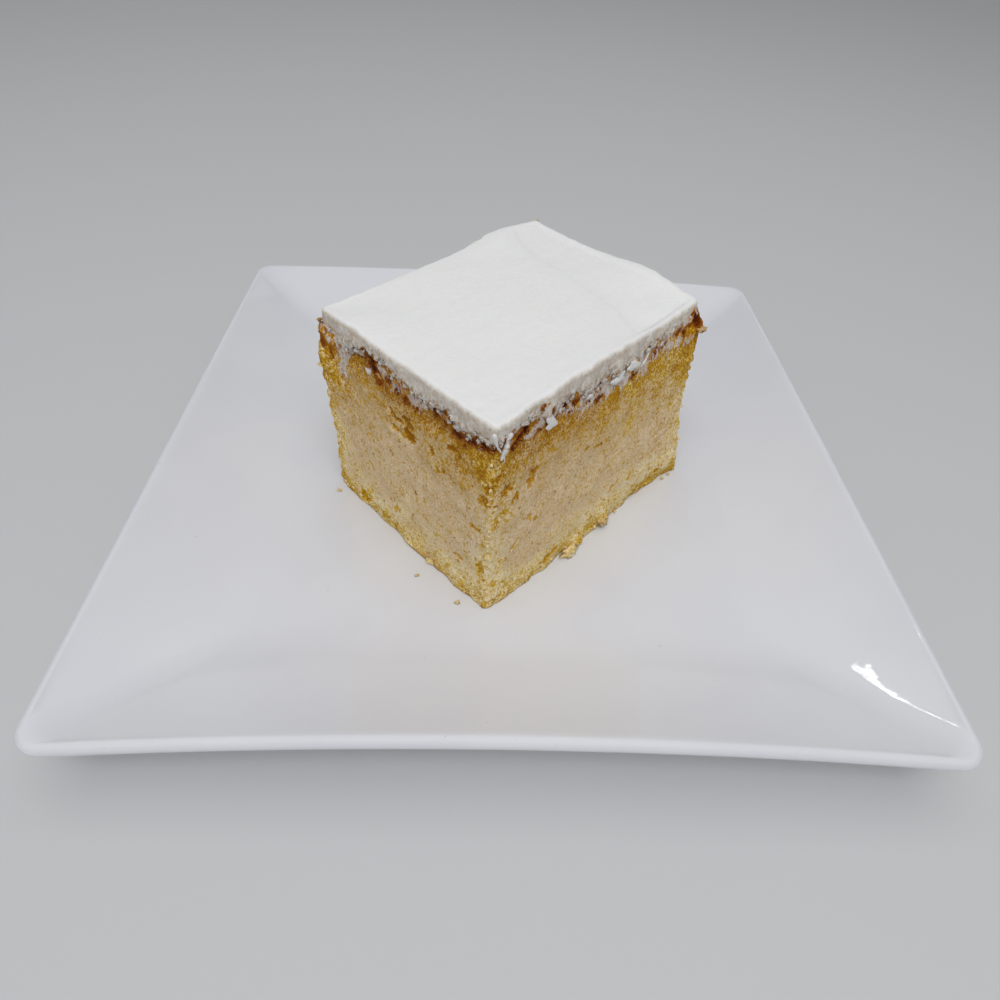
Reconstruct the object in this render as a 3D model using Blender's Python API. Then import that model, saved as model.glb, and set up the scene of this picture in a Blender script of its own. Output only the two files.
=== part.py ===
# A cut slice of tres leches cake, with its cream topping, on a square porcelain plate.
# The origin is under the middle of the plate, on the table. X runs right, Y away, Z up.

import math

import bmesh
import bpy
from mathutils import Matrix, Vector, noise

MM = 0.001

# Plate: a flat square well, four sloping sides and a rounded rim on a low square foot
PLATE_SIDE = 210.0 * MM
PLATE_CORNER = 6.5 * MM
SIDE_BOW = 2.0 * MM  # each side curves in by this at its middle
RIM_LIFT = 2.8 * MM  # and stands this much higher there than at the corners
RIM_LEVEL = 18.3 * MM  # middle of the rim's thickness at a corner
RIM_THICKNESS = 3.7 * MM
WELL_SIDE = 140.0 * MM
WELL_CORNER = 4.0 * MM
WELL_LEVEL = 9.0 * MM
BODY_THICKNESS = 4.4 * MM
SLOPE_SAG = 0.16  # share of the rise that comes late, so the sides are a little hollow
SLOPE_STEPS = (0.05, 0.2, 0.4, 0.6, 0.8)
SLOPE_ANGLE = 20.0  # degrees, where a side runs into the rim
FOOT_SIDE = 132.0 * MM
FOOT_CORNER = 8.0 * MM
FOOT_WIDTH = 4.0 * MM
FOOT_TAPER = 0.8 * MM
UNDERSIDE_STEPS = (0.72, 0.4)
RIM_ARC_STEPS = 6
SIDE_POINTS = 10
CORNER_POINTS = 4

# Slice: where its four upright edges stand on the plate, where they end, and how high
SLICE_LENGTH = 86.0 * MM
SLICE_WIDTH = 66.5 * MM
SLICE_EDGES = {
    "front": {"foot": (-6.4, -60.1), "top": (-5.6, -58.3), "height": 61.8},
    "right": {"foot": (57.1, -1.9), "top": (48.1, 0.0), "height": 60.3},
    "back": {"foot": (10.9, 46.0), "top": (6.5, 48.9), "height": 58.7},
    "left": {"foot": (-52.6, -12.2), "top": (-50.0, -12.7), "height": 60.3},
}
SEED_STEP = Vector((3.17, 1.73, 2.39))
SEAT_GAP = 0.3 * MM  # between the slice and the plate
LAYER_GAP = 0.4 * MM  # between the sponge and the cream
EDGE_RADIUS = 1.5 * MM
ROUND_TRIP = 2 * (SLICE_LENGTH + SLICE_WIDTH)
LONG_FACE_POINTS = 33
SHORT_FACE_POINTS = 25
EDGE_ARC_POINTS = 2
EDGE_GATHER = 0.06  # points gather towards the upright edges, where the shape is finest

# Sponge: an open crumb with torn edges
SPONGE_ROWS = 21
CRUMB_RELIEF = 0.45 * MM
CRUMB_GRAIN = 5.5 * MM
FACE_WAVE = 0.55 * MM
FACE_WAVE_LENGTH = 17.0 * MM
BASE_FLARE = 0.7 * MM  # the base sticks out a little where it was pressed
BASE_FLARE_HEIGHT = 5.0 * MM
CRUST_RECESS = 0.5 * MM  # the browned top crust lies back under the cream
CRUST_HEIGHT = 5.0 * MM

# Cream: a smooth top, rolled edges and a torn lower edge with drips
CREAM_THICKNESS = 4.6 * MM
CREAM_TEAR = 1.3 * MM  # how far the lower edge wanders up and down
CREAM_TEAR_LENGTH = 4.2 * MM
FINE_TEAR = 0.8 * MM
FINE_TEAR_LENGTH = 1.7 * MM
CREAM_PROUD = 0.35 * MM
SEAM_PROUD = 0.2 * MM  # the torn line between sponge and cream
CREAM_LUMP = 0.5 * MM
CREAM_LUMP_LENGTH = 3.4 * MM
CREAM_ROLL = 1.5 * MM
CREAM_WAVE = 0.45 * MM
CREAM_WAVE_LENGTH = 24.0 * MM
CREAM_STEP = 0.7 * MM  # knife step across the top, lower behind
STEP_PLACE = 0.52  # where it crosses, in half lengths of the slice
STEP_SLANT = 0.17
STEP_SHARPNESS = 22.0
CREAM_FACE_ROWS = (0.3, 0.65, 1.0)  # shares of the way from the torn line to the rolled edge
ROLL_ANGLES = (35.0, 65.0)  # degrees
ROLL_TUCK = 0.6  # share of the rolled edge's radius that the top starts in from it
TOP_FADE = 0.05
RIM_FADE = 0.12
SEAM_FADE = 0.035  # the torn line's dips level out within this share of the plan
SEAM_LOOPS = (0.97, 0.9, 0.76, 0.55, 0.3)  # rings of the inner faces, as shares of the plan
TOP_LOOPS = (0.985, 0.955, 0.91, 0.84, 0.74, 0.6, 0.42, 0.22)

# Relief that stands out from a step away. Each has its face and its distance from the front
# edge, its height above the plate, its radii and its depth, outward positive. The first three
# are the slice's own lean: it swells under the cream at its left and right edges.
SPONGE_FEATURES = (
    {"face": "left", "along": 66.5, "height": 46.0, "wide": 7.0, "tall": 20.0, "depth": 2.4},
    {"face": "right", "along": 86.0, "height": 49.0, "wide": 8.0, "tall": 13.0, "depth": 1.9},
    {"face": "right", "along": 85.0, "height": 26.0, "wide": 7.0, "tall": 9.0, "depth": -0.7},
    {"face": "right", "along": 86.0, "height": 53.5, "wide": 2.4, "tall": 2.0, "depth": 1.5},
    {"face": "left", "along": 33.0, "height": 43.0, "wide": 4.2, "tall": 4.0, "depth": -3.2},
    {"face": "left", "along": 47.0, "height": 54.0, "wide": 3.4, "tall": 3.0, "depth": -1.8},
    {"face": "left", "along": 21.0, "height": 51.0, "wide": 3.0, "tall": 2.4, "depth": -1.4},
    {"face": "right", "along": 13.5, "height": 38.8, "wide": 3.2, "tall": 3.0, "depth": -1.8},
    {"face": "right", "along": 31.0, "height": 40.5, "wide": 3.4, "tall": 2.4, "depth": -1.4},
    {"face": "right", "along": 36.5, "height": 1.0, "wide": 2.2, "tall": 2.0, "depth": 2.8},
    {"face": "right", "along": 48.5, "height": 1.5, "wide": 2.4, "tall": 2.2, "depth": 1.6},
)
# Where the cream hangs lower (drop) and stands further out (swell) than elsewhere
CREAM_FEATURES = (
    {"face": "left", "along": 1.2, "wide": 1.5, "drop": 3.4, "swell": 0.4},
    {"face": "right", "along": 3.4, "wide": 1.2, "drop": 4.4, "swell": 0.5},
    {"face": "left", "along": 57.0, "wide": 2.4, "drop": 4.6, "swell": 0.4},
    {"face": "left", "along": 30.0, "wide": 5.0, "drop": 1.4, "swell": 0.2},
    {"face": "right", "along": 21.5, "wide": 2.2, "drop": 2.8, "swell": 0.9},
    {"face": "right", "along": 35.4, "wide": 2.6, "drop": 2.4, "swell": 0.8},
    {"face": "right", "along": 45.0, "wide": 2.2, "drop": 2.2, "swell": 0.7},
    {"face": "right", "along": 51.0, "wide": 1.8, "drop": 1.2, "swell": 0.5},
)
# The two far sides swell out and up towards the top
RIM_SWELLS = (
    {"face": "far", "along": 19.0, "reach": 14.0, "rise": 1.5, "out": 1.7},
    {"face": "hidden", "along": 18.0, "reach": 13.0, "rise": 1.3, "out": 1.5},
)


def clear_scene():
    for item in list(bpy.data.objects):
        bpy.data.objects.remove(item, do_unlink=True)


def make_material(name, colour, roughness):
    material = bpy.data.materials.new(name)
    material.use_nodes = True
    shader = material.node_tree.nodes["Principled BSDF"]
    shader.inputs["Base Color"].default_value = (*colour, 1.0)
    shader.inputs["Roughness"].default_value = roughness
    shader.inputs["Metallic"].default_value = 0.0
    return material


def mix(start, end, share):
    return start + (end - start) * share


def bump(distance, reach):
    return math.exp(-((distance / reach) ** 2))


# Joins rings of points, each with the same count, into one closed skin
def skin_from_rings(name, rings, material, start_cap, end_cap):
    mesh_builder = bmesh.new()
    loops = [[mesh_builder.verts.new(point) for point in ring] for ring in rings]
    count = len(loops[0])
    for lower, upper in zip(loops, loops[1:]):
        for index in range(count):
            following = (index + 1) % count
            corners = (lower[index], lower[following], upper[following], upper[index])
            # split along the shorter diagonal, so that facing skins split alike
            rising = (corners[0].co - corners[2].co).length
            falling = (corners[1].co - corners[3].co).length
            start = 0 if rising <= falling else 1
            turned = corners[start:] + corners[:start]
            mesh_builder.faces.new((turned[0], turned[1], turned[2]))
            mesh_builder.faces.new((turned[0], turned[2], turned[3]))
    for loop, centre in ((loops[0][::-1], start_cap), (loops[-1], end_cap)):
        cap = mesh_builder.faces.new(loop)
        if centre:
            bmesh.ops.poke(mesh_builder, faces=[cap])
    bmesh.ops.recalc_face_normals(mesh_builder, faces=mesh_builder.faces)
    mesh = bpy.data.meshes.new(name)
    mesh_builder.to_mesh(mesh)
    mesh_builder.free()
    mesh.materials.append(material)
    mesh.shade_smooth()
    mesh.set_sharp_from_angle(angle=math.radians(40.0))
    item = bpy.data.objects.new(name, mesh)
    bpy.context.scene.collection.objects.link(item)
    return item


# One ring of the plate: a square with round corners whose sides bow in and lift at the middle
def plate_ring(half, radius, bow, lift, level):
    points = []
    straight = half - radius
    for quarter in range(4):
        turn = Matrix.Rotation(quarter * math.pi / 2, 3, "Z")
        for step in range(SIDE_POINTS + 1):
            place = step / SIDE_POINTS * 2 - 1
            middle = 1 - place * place
            point = Vector((place * straight, -half + bow * middle, level + lift * middle))
            points.append(turn @ point)
        for step in range(1, CORNER_POINTS):
            angle = math.pi / 2 * (step / CORNER_POINTS - 1)
            reach = radius * Vector((math.cos(angle), math.sin(angle), 0.0))
            points.append(turn @ (Vector((straight, -straight, level)) + reach))
    return points


def build_plate(material):
    half_rim = RIM_THICKNESS / 2
    rim_half = PLATE_SIDE / 2 - half_rim
    rim_start = math.radians(90.0 + SLOPE_ANGLE)
    inner_half = rim_half + half_rim * math.cos(rim_start)
    inner_level = RIM_LEVEL + half_rim * math.sin(rim_start)
    well_half = WELL_SIDE / 2
    foot_half = FOOT_SIDE / 2
    underside = WELL_LEVEL - BODY_THICKNESS

    rings = [plate_ring(well_half, WELL_CORNER, 0.0, 0.0, WELL_LEVEL)]
    for share in SLOPE_STEPS:
        rise = share * (1 - SLOPE_SAG) + share * share * SLOPE_SAG
        rings.append(plate_ring(
            mix(well_half, inner_half, share),
            mix(WELL_CORNER, PLATE_CORNER, share),
            SIDE_BOW * share,
            RIM_LIFT * rise,
            mix(WELL_LEVEL, inner_level, rise),
        ))
    for step in range(RIM_ARC_STEPS + 1):
        angle = rim_start - math.pi * step / RIM_ARC_STEPS
        reach = half_rim * math.cos(angle)
        radius = PLATE_CORNER - half_rim + reach
        level = RIM_LEVEL + half_rim * math.sin(angle)
        rings.append(plate_ring(rim_half + reach, radius, SIDE_BOW, RIM_LIFT, level))
    outer_half = rim_half - half_rim * math.cos(rim_start)
    outer_level = RIM_LEVEL - half_rim * math.sin(rim_start)
    for share in UNDERSIDE_STEPS:
        rings.append(plate_ring(
            mix(foot_half, outer_half, share),
            mix(FOOT_CORNER, PLATE_CORNER, share),
            SIDE_BOW * share,
            RIM_LIFT * share,
            mix(underside, outer_level, share),
        ))
    rings.append(plate_ring(foot_half, FOOT_CORNER, 0.0, 0.0, underside))
    rings.append(plate_ring(foot_half - FOOT_TAPER, FOOT_CORNER, 0.0, 0.0, 0.0))
    inner_foot = foot_half - FOOT_TAPER - FOOT_WIDTH
    inner_radius = FOOT_CORNER - FOOT_WIDTH
    rings.append(plate_ring(inner_foot, inner_radius, 0.0, 0.0, 0.0))
    rings.append(plate_ring(inner_foot - FOOT_TAPER, inner_radius, 0.0, 0.0, underside))
    return skin_from_rings("plate", rings, material, False, False)


# Distance round the slice from its front edge of a place on one of its faces
def distance_round(face, along):
    starts = {"right": 0.0, "far": SLICE_LENGTH, "hidden": SLICE_LENGTH + SLICE_WIDTH}
    if face == "left":
        return ROUND_TRIP - along
    return starts[face] + along


def gap_round(station, feature):
    gap = abs(station["round"] - distance_round(feature["face"], feature["along"] * MM))
    return min(gap, ROUND_TRIP - gap) / MM


# The stations round the slice, in its own plan: X along its length, Y across its width.
# Each has its place, the way it faces and its distance round from the front edge.
def slice_stations():
    half_x = SLICE_LENGTH / 2
    half_y = SLICE_WIDTH / 2
    faces = (
        (LONG_FACE_POINTS, Vector((-1, -1)), Vector((1, -1)), Vector((0, -1))),
        (SHORT_FACE_POINTS, Vector((1, -1)), Vector((1, 1)), Vector((1, 0))),
        (LONG_FACE_POINTS, Vector((1, 1)), Vector((-1, 1)), Vector((0, 1))),
        (SHORT_FACE_POINTS, Vector((-1, 1)), Vector((-1, -1)), Vector((-1, 0))),
    )
    stations = []
    start_round = 0.0
    for count, start, end, facing in faces:
        begin = Vector((start.x * (half_x - EDGE_RADIUS), start.y * (half_y - EDGE_RADIUS)))
        finish = Vector((end.x * (half_x - EDGE_RADIUS), end.y * (half_y - EDGE_RADIUS)))
        run = (finish - begin).length
        for step in range(count + 1):
            share = step / count
            share -= EDGE_GATHER * math.sin(2 * math.pi * share)
            place = begin.lerp(finish, share) + facing * EDGE_RADIUS
            travelled = start_round + EDGE_RADIUS + run * share
            stations.append({"place": place, "facing": facing.copy(), "round": travelled})
        start_round += run + 2 * EDGE_RADIUS
        for step in range(1, EDGE_ARC_POINTS + 1):
            angle = math.pi / 2 * step / (EDGE_ARC_POINTS + 1)
            side = Vector((-facing.y, facing.x))
            outward = facing * math.cos(angle) + side * math.sin(angle)
            place = finish + outward * EDGE_RADIUS
            stations.append({"place": place, "facing": outward, "round": start_round % ROUND_TRIP})
    return stations


# Places a point of the slice's plan between the four upright edges, at a share of their height
def slice_point(plan, share):
    across = plan.x / (SLICE_LENGTH / 2)
    deep = plan.y / (SLICE_WIDTH / 2)
    weights = {
        "front": (1 - across) * (1 - deep) / 4,
        "right": (1 + across) * (1 - deep) / 4,
        "back": (1 + across) * (1 + deep) / 4,
        "left": (1 - across) * (1 + deep) / 4,
    }
    point = Vector((0.0, 0.0, 0.0))
    for name, weight in weights.items():
        edge = SLICE_EDGES[name]
        spot = Vector(edge["foot"]).lerp(Vector(edge["top"]), share) * MM
        point += Vector((spot.x, spot.y, edge["height"] * MM * share)) * weight
    return point


def slice_height(plan):
    return slice_point(plan, 1.0).z


# Smooth noise between -1 and 1 over the plan, and in space. Each seed gives another pattern.
def wander(plan, length, seed):
    return crumb(Vector((plan.x, plan.y, 0.0)), length, seed)


def crumb(point, length, seed):
    return noise.noise(point / length + SEED_STEP * seed)


# How far the far sides swell at a station: "rise" is upwards, "out" is outwards
def side_swell(station, way):
    return sum(swell[way] * MM * bump(gap_round(station, swell), swell["reach"]) for swell in RIM_SWELLS)


# How far the cream comes down at a station, and how far it stands out there
def cream_drop(station):
    place = station["place"]
    drop = CREAM_THICKNESS + CREAM_TEAR * wander(place, CREAM_TEAR_LENGTH, 1)
    drop += FINE_TEAR * wander(place, FINE_TEAR_LENGTH, 2)
    for feature in CREAM_FEATURES:
        drop += feature["drop"] * MM * bump(gap_round(station, feature), feature["wide"])
    return drop


def cream_swell(station, height):
    point = slice_point(station["place"], 0.0) + Vector((0.0, 0.0, height))
    swell = CREAM_PROUD + CREAM_LUMP * crumb(point, CREAM_LUMP_LENGTH, 5)
    for feature in CREAM_FEATURES:
        swell += feature["swell"] * MM * bump(gap_round(station, feature), feature["wide"])
    return swell + side_swell(station, "out")


def top_relief(plan):
    across = plan.x / (SLICE_LENGTH / 2)
    deep = plan.y / (SLICE_WIDTH / 2)
    relief = CREAM_WAVE * wander(plan, CREAM_WAVE_LENGTH, 3)
    # the knife step runs from the hidden face to the right face
    beyond = across - STEP_PLACE - STEP_SLANT * deep
    relief -= CREAM_STEP / (1 + math.exp(-beyond * STEP_SHARPNESS))
    return relief


def sponge_relief(station, height):
    point = slice_point(station["place"], 0.0) + Vector((0.0, 0.0, height))
    relief = FACE_WAVE * crumb(point, FACE_WAVE_LENGTH, 2)
    relief += CRUMB_RELIEF * crumb(point, CRUMB_GRAIN, 1)
    relief += BASE_FLARE * math.exp(-height / BASE_FLARE_HEIGHT) * (1 + crumb(point, CRUMB_GRAIN, 4))
    relief += side_swell(station, "out") * height / slice_height(station["place"])
    for feature in SPONGE_FEATURES:
        sideways = bump(gap_round(station, feature), feature["wide"])
        relief += feature["depth"] * MM * sideways * bump(height / MM - feature["height"], feature["tall"])
    return relief


# The torn line where sponge and cream meet on the outside is shared by both
def seam_plan(station):
    return station["place"] + station["facing"] * (SEAM_PROUD + side_swell(station, "out"))


# The face between sponge and cream: the torn line outside, level within
def seam_rings(stations, drops, lift):
    rings = []
    ring = []
    for station, drop in zip(stations, drops):
        plan = seam_plan(station)
        height = slice_height(plan)
        point = slice_point(plan, 1 - drop / height)
        ring.append(point + Vector((0, 0, lift)))
    rings.append(ring)
    for scale in SEAM_LOOPS:
        ring = []
        hold = bump(1 - scale, SEAM_FADE)
        for station, drop in zip(stations, drops):
            plan = station["place"] * scale
            depth = CREAM_THICKNESS + (drop - CREAM_THICKNESS) * hold
            height = slice_height(plan)
            ring.append(slice_point(plan, 1 - depth / height) + Vector((0, 0, lift)))
        rings.append(ring)
    return rings


def build_sponge(material, stations, drops):
    base = Vector((0.0, 0.0, WELL_LEVEL + SEAT_GAP))
    rings = []
    for row in range(SPONGE_ROWS):
        ring = []
        for station, drop in zip(stations, drops):
            full = slice_height(station["place"])
            seam = full - drop
            share = row / SPONGE_ROWS
            height = seam * share
            relief = sponge_relief(station, height)
            below = seam - height
            relief -= CRUST_RECESS * bump(below - CRUST_HEIGHT / 2, CRUST_HEIGHT / 2)
            plan = station["place"] + station["facing"] * relief
            ring.append(slice_point(plan, height / full) + base)
        rings.append(ring)
    for point in rings[0]:
        point.z = base.z
    for ring in seam_rings(stations, drops, -LAYER_GAP / 2):
        rings.append([point + base for point in ring])
    return skin_from_rings("sponge", rings, material, False, True)


def build_cream(material, stations, drops):
    base = Vector((0.0, 0.0, WELL_LEVEL + SEAT_GAP))
    rings = [[point + base for point in ring] for ring in seam_rings(stations, drops, LAYER_GAP / 2)]
    rings.reverse()
    # the outer face, from the torn line up to where the edge rolls over
    for share in CREAM_FACE_ROWS:
        ring = []
        for station, drop in zip(stations, drops):
            full = slice_height(station["place"])
            height = full - CREAM_ROLL - (drop - CREAM_ROLL) * (1 - share)
            plan = station["place"] + station["facing"] * cream_swell(station, height)
            point = slice_point(plan, height / full) + base
            ring.append(point + Vector((0, 0, side_swell(station, "rise") * share)))
        rings.append(ring)
    for angle in ROLL_ANGLES:
        ring = []
        turn = math.radians(angle)
        for station in stations:
            full = slice_height(station["place"])
            inset = CREAM_ROLL * (1 - math.cos(turn))
            height = full - CREAM_ROLL * (1 - math.sin(turn))
            reach = cream_swell(station, full - CREAM_ROLL) - inset
            plan = station["place"] + station["facing"] * reach
            point = slice_point(plan, height / full) + base
            ring.append(point + Vector((0, 0, side_swell(station, "rise"))))
        rings.append(ring)
    for scale in TOP_LOOPS:
        ring = []
        for station in stations:
            plan = station["place"] * scale - station["facing"] * (CREAM_ROLL * ROLL_TUCK * scale)
            point = slice_point(plan, 1.0) + base
            fade = min(1.0, (1 - scale) / TOP_FADE)
            lift = top_relief(plan) * fade + side_swell(station, "rise") * bump(1 - scale, RIM_FADE)
            ring.append(point + Vector((0, 0, lift)))
        rings.append(ring)
    return skin_from_rings("cream_topping", rings, material, True, True)


def main():
    clear_scene()
    porcelain = make_material("porcelain", (0.78, 0.79, 0.82), 0.12)
    sponge = make_material("sponge_crumb", (0.72, 0.50, 0.27), 0.9)
    cream = make_material("whipped_cream", (0.90, 0.89, 0.87), 0.55)
    build_plate(porcelain)
    stations = slice_stations()
    drops = [cream_drop(station) for station in stations]
    build_sponge(sponge, stations, drops)
    build_cream(cream, stations, drops)


main()
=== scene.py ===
# Looks of a tres leches cake slice on its square plate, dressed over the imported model
import math

import bmesh
import bpy
import numpy as np
from mathutils import Matrix, Vector, noise


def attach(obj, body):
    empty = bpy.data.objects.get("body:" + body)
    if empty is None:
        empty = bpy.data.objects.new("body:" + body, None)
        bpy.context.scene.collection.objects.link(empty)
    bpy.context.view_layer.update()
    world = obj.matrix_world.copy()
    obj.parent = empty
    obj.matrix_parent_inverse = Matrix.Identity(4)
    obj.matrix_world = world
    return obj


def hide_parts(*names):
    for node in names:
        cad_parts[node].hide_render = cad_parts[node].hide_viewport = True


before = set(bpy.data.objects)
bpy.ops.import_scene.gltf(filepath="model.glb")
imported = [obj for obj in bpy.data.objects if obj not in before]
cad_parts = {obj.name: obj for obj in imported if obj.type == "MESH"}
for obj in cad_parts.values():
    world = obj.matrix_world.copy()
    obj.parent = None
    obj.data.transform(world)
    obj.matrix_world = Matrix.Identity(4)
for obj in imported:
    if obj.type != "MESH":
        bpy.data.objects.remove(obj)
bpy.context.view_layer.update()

mm = 0.001
body = "root"
wellLevel = 9.0 * mm
seatLevel = wellLevel + 0.3 * mm  # the slice stands this high, just clear of the glaze


def addObject(name, data):
    made = bpy.data.objects.new(name, data)
    bpy.context.scene.collection.objects.link(made)
    return made


# The camera, where the photograph was taken from
view = {
    "place": (-10.456, -157.131, 154.848),  # mm
    "yaw": 0.061,  # radians, like the next two
    "pitch": 0.813,
    "roll": 0.077,
    "lens": 23.01,  # mm, like the sensor
    "sensor": 36.0,
}


def setCamera():
    yaw, pitch, roll = view["yaw"], view["pitch"], view["roll"]
    ahead = Vector((math.sin(yaw) * math.cos(pitch), math.cos(yaw) * math.cos(pitch), -math.sin(pitch)))
    level = Vector((math.cos(yaw), -math.sin(yaw), 0.0))
    upright = level.cross(ahead)
    right = math.cos(roll) * level + math.sin(roll) * upright
    up = -math.sin(roll) * level + math.cos(roll) * upright
    lens = bpy.data.cameras.new("tableCamera")
    lens.sensor_width = view["sensor"]
    lens.lens = view["lens"]
    lens.clip_start = 0.005
    lens.clip_end = 20.0
    camera = addObject("tableCamera", lens)
    turn = Matrix((right, up, -ahead)).transposed().to_4x4()
    camera.matrix_world = Matrix.Translation(Vector(view["place"]) * mm) @ turn
    bpy.context.scene.camera = camera


# Small helpers for node materials
def newFinish(name, settings):
    finish = bpy.data.materials.new(name)
    finish.use_nodes = True
    shader = finish.node_tree.nodes["Principled BSDF"]
    for socket, value in settings.items():
        shader.inputs[socket].default_value = value
    return finish, finish.node_tree, shader


def joinUp(tree, source, target):
    if isinstance(source, bpy.types.NodeSocket):
        tree.links.new(source, target)
    elif isinstance(source, tuple) and len(source) == 3 and target.type == "RGBA":
        target.default_value = (*source, 1.0)
    else:
        target.default_value = source


def mixColour(tree, share, first, second):
    node = tree.nodes.new("ShaderNodeMix")
    node.data_type = "RGBA"
    joinUp(tree, share, node.inputs[0])
    joinUp(tree, first, node.inputs[6])
    joinUp(tree, second, node.inputs[7])
    return node.outputs[2]


# The colour at a value, from stops that are each a value and its colour
def colourAlong(tree, value, stops):
    node = tree.nodes.new("ShaderNodeValToRGB")
    ramp = node.color_ramp
    while len(ramp.elements) < len(stops):
        ramp.elements.new(0.5)
    for element, (place, colour) in zip(ramp.elements, stops):
        element.position = place
        element.color = (*colour, 1.0)
    joinUp(tree, value, node.inputs["Fac"])
    return node.outputs["Color"]


def spread(tree, value, low, high, start=0.0, end=1.0):
    node = tree.nodes.new("ShaderNodeMapRange")
    node.interpolation_type = "SMOOTHSTEP"
    sockets = {"Value": value, "From Min": low, "From Max": high, "To Min": start, "To Max": end}
    for name, source in sockets.items():
        joinUp(tree, source, node.inputs[name])
    return node.outputs["Result"]


# The cover laid over the surface where the value passes from low to high, at most that thick
def layOver(tree, surface, cover, value, low, high, most=1.0):
    return mixColour(tree, spread(tree, value, low, high, 0.0, most), surface, cover)


def arithmetic(tree, kind, first, second):
    node = tree.nodes.new("ShaderNodeMath")
    node.operation = kind
    joinUp(tree, first, node.inputs[0])
    joinUp(tree, second, node.inputs[1])
    return node.outputs[0]


def total(tree, first, second):
    return arithmetic(tree, "ADD", first, second)


def product(tree, first, second):
    return arithmetic(tree, "MULTIPLY", first, second)


# Adds up parts of several values around their middles, as a base value plus wander
def wander(tree, base, parts):
    level = base
    for value, share in parts:
        level = total(tree, product(tree, value, share), total(tree, level, -share / 2))
    return level


def grain(tree, size, detail=2.0, rough=0.5, stretch=(1.0, 1.0, 1.0)):
    place = tree.nodes.new("ShaderNodeTexCoord")
    scale = tree.nodes.new("ShaderNodeMapping")
    scale.inputs["Scale"].default_value = stretch
    node = tree.nodes.new("ShaderNodeTexNoise")
    tree.links.new(place.outputs["Object"], scale.inputs["Vector"])
    tree.links.new(scale.outputs["Vector"], node.inputs["Vector"])
    node.inputs["Scale"].default_value = 1.0 / size
    node.inputs["Detail"].default_value = detail
    node.inputs["Roughness"].default_value = rough
    return node.outputs["Fac"]


def pitted(tree, height, distance, strength=1.0, under=None):
    node = tree.nodes.new("ShaderNodeBump")
    node.inputs["Distance"].default_value = distance
    node.inputs["Strength"].default_value = strength
    tree.links.new(height, node.inputs["Height"])
    if under is not None:
        tree.links.new(under, node.inputs["Normal"])
    return node.outputs["Normal"]


def painted(tree, name):
    node = tree.nodes.new("ShaderNodeAttribute")
    node.attribute_name = name
    return node.outputs["Fac"]


# Floor and light: a pale floor, one wide soft lamp overhead, one towards the camera
light = {
    "world": 0.30,
    "worldTint": (0.96, 0.975, 1.0),
    "floorTint": (0.60, 0.605, 0.615),
    "floorHalf": 3.0,  # m
    # name, place (m), aimed at (m), power (W), tint, what it is for, and its panes: each an offset
    # sideways and upwards in the lamp's own plane, then its width and height (m)
    "lamps": (
        ("overhead", (0.0, -0.05, 1.10), (0.0, 0.0, 0.03), 4.9, (0.995, 1.0, 1.0), "lights",
         ((0.0, 0.0, 1.3, 1.3),)),
        ("frontSoft", (0.0, -0.60, 1.00), (0.0, 0.0, 0.03), 4.9, (1.0, 1.0, 0.995), "lights",
         ((0.0, 0.0, 0.9, 0.6),)),
        ("leftGlint", (0.183, 0.196, 1.042), (-0.099, -0.091, 0.019), 0.08, (1.0, 1.0, 1.0), "shows",
         ((0.0, 0.0, 0.016, 0.060), (0.016, 0.012, 0.008, 0.030), (-0.016, -0.006, 0.006, 0.040),
          (0.026, 0.004, 0.005, 0.020))),
        ("rightGlint", (-0.083, 0.304, 1.034), (0.093, -0.076, 0.017), 0.11, (1.0, 1.0, 1.0), "shows",
         ((0.0, 0.012, 0.072, 0.007), (0.010, 0.002, 0.042, 0.006), (-0.018, -0.006, 0.020, 0.005),
          (0.022, -0.010, 0.012, 0.004), (-0.030, 0.002, 0.008, 0.006))),
        ("backGlow", (0.0, 1.20, 0.28), (0.0, 0.0, 0.10), 2.4, (1.0, 1.0, 1.0), "shows",
         ((0.0, 0.0, 3.2, 0.56),)),
    ),
}


def setLight():
    world = bpy.data.worlds.new("softRoom")
    bpy.context.scene.world = world
    world.use_nodes = True
    shade = world.node_tree.nodes["Background"]
    shade.inputs["Color"].default_value = (*light["worldTint"], 1.0)
    shade.inputs["Strength"].default_value = light["world"]
    # the room gives light but stays out of the glaze, which mirrors the cake and the lamps that show
    world.cycles_visibility.glossy = False
    for name, place, aim, power, tint, role, panes in light["lamps"]:
        turned = (Vector(aim) - Vector(place)).to_track_quat("-Z", "Y")
        whole = sum(wide * tall for across, up, wide, tall in panes)
        for number, (across, up, wide, tall) in enumerate(panes):
            lamp = bpy.data.lights.new("%s%d" % (name, number + 1), "AREA")
            lamp.shape = "RECTANGLE"
            lamp.size, lamp.size_y = wide, tall
            lamp.energy = power * wide * tall / whole
            lamp.color = tint
            holder = addObject(lamp.name, lamp)
            holder.location = Vector(place) + turned @ Vector((across, up, 0.0))
            holder.visible_glossy = role == "shows"
            holder.visible_diffuse = role == "lights"
            holder.rotation_euler = turned.to_euler()
    bpy.context.scene.view_settings.view_transform = "Standard"


def paintMask(mesh, name, values):
    layer = mesh.attributes.new(name, "FLOAT", "POINT")
    layer.data.foreach_set("value", values)


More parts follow.
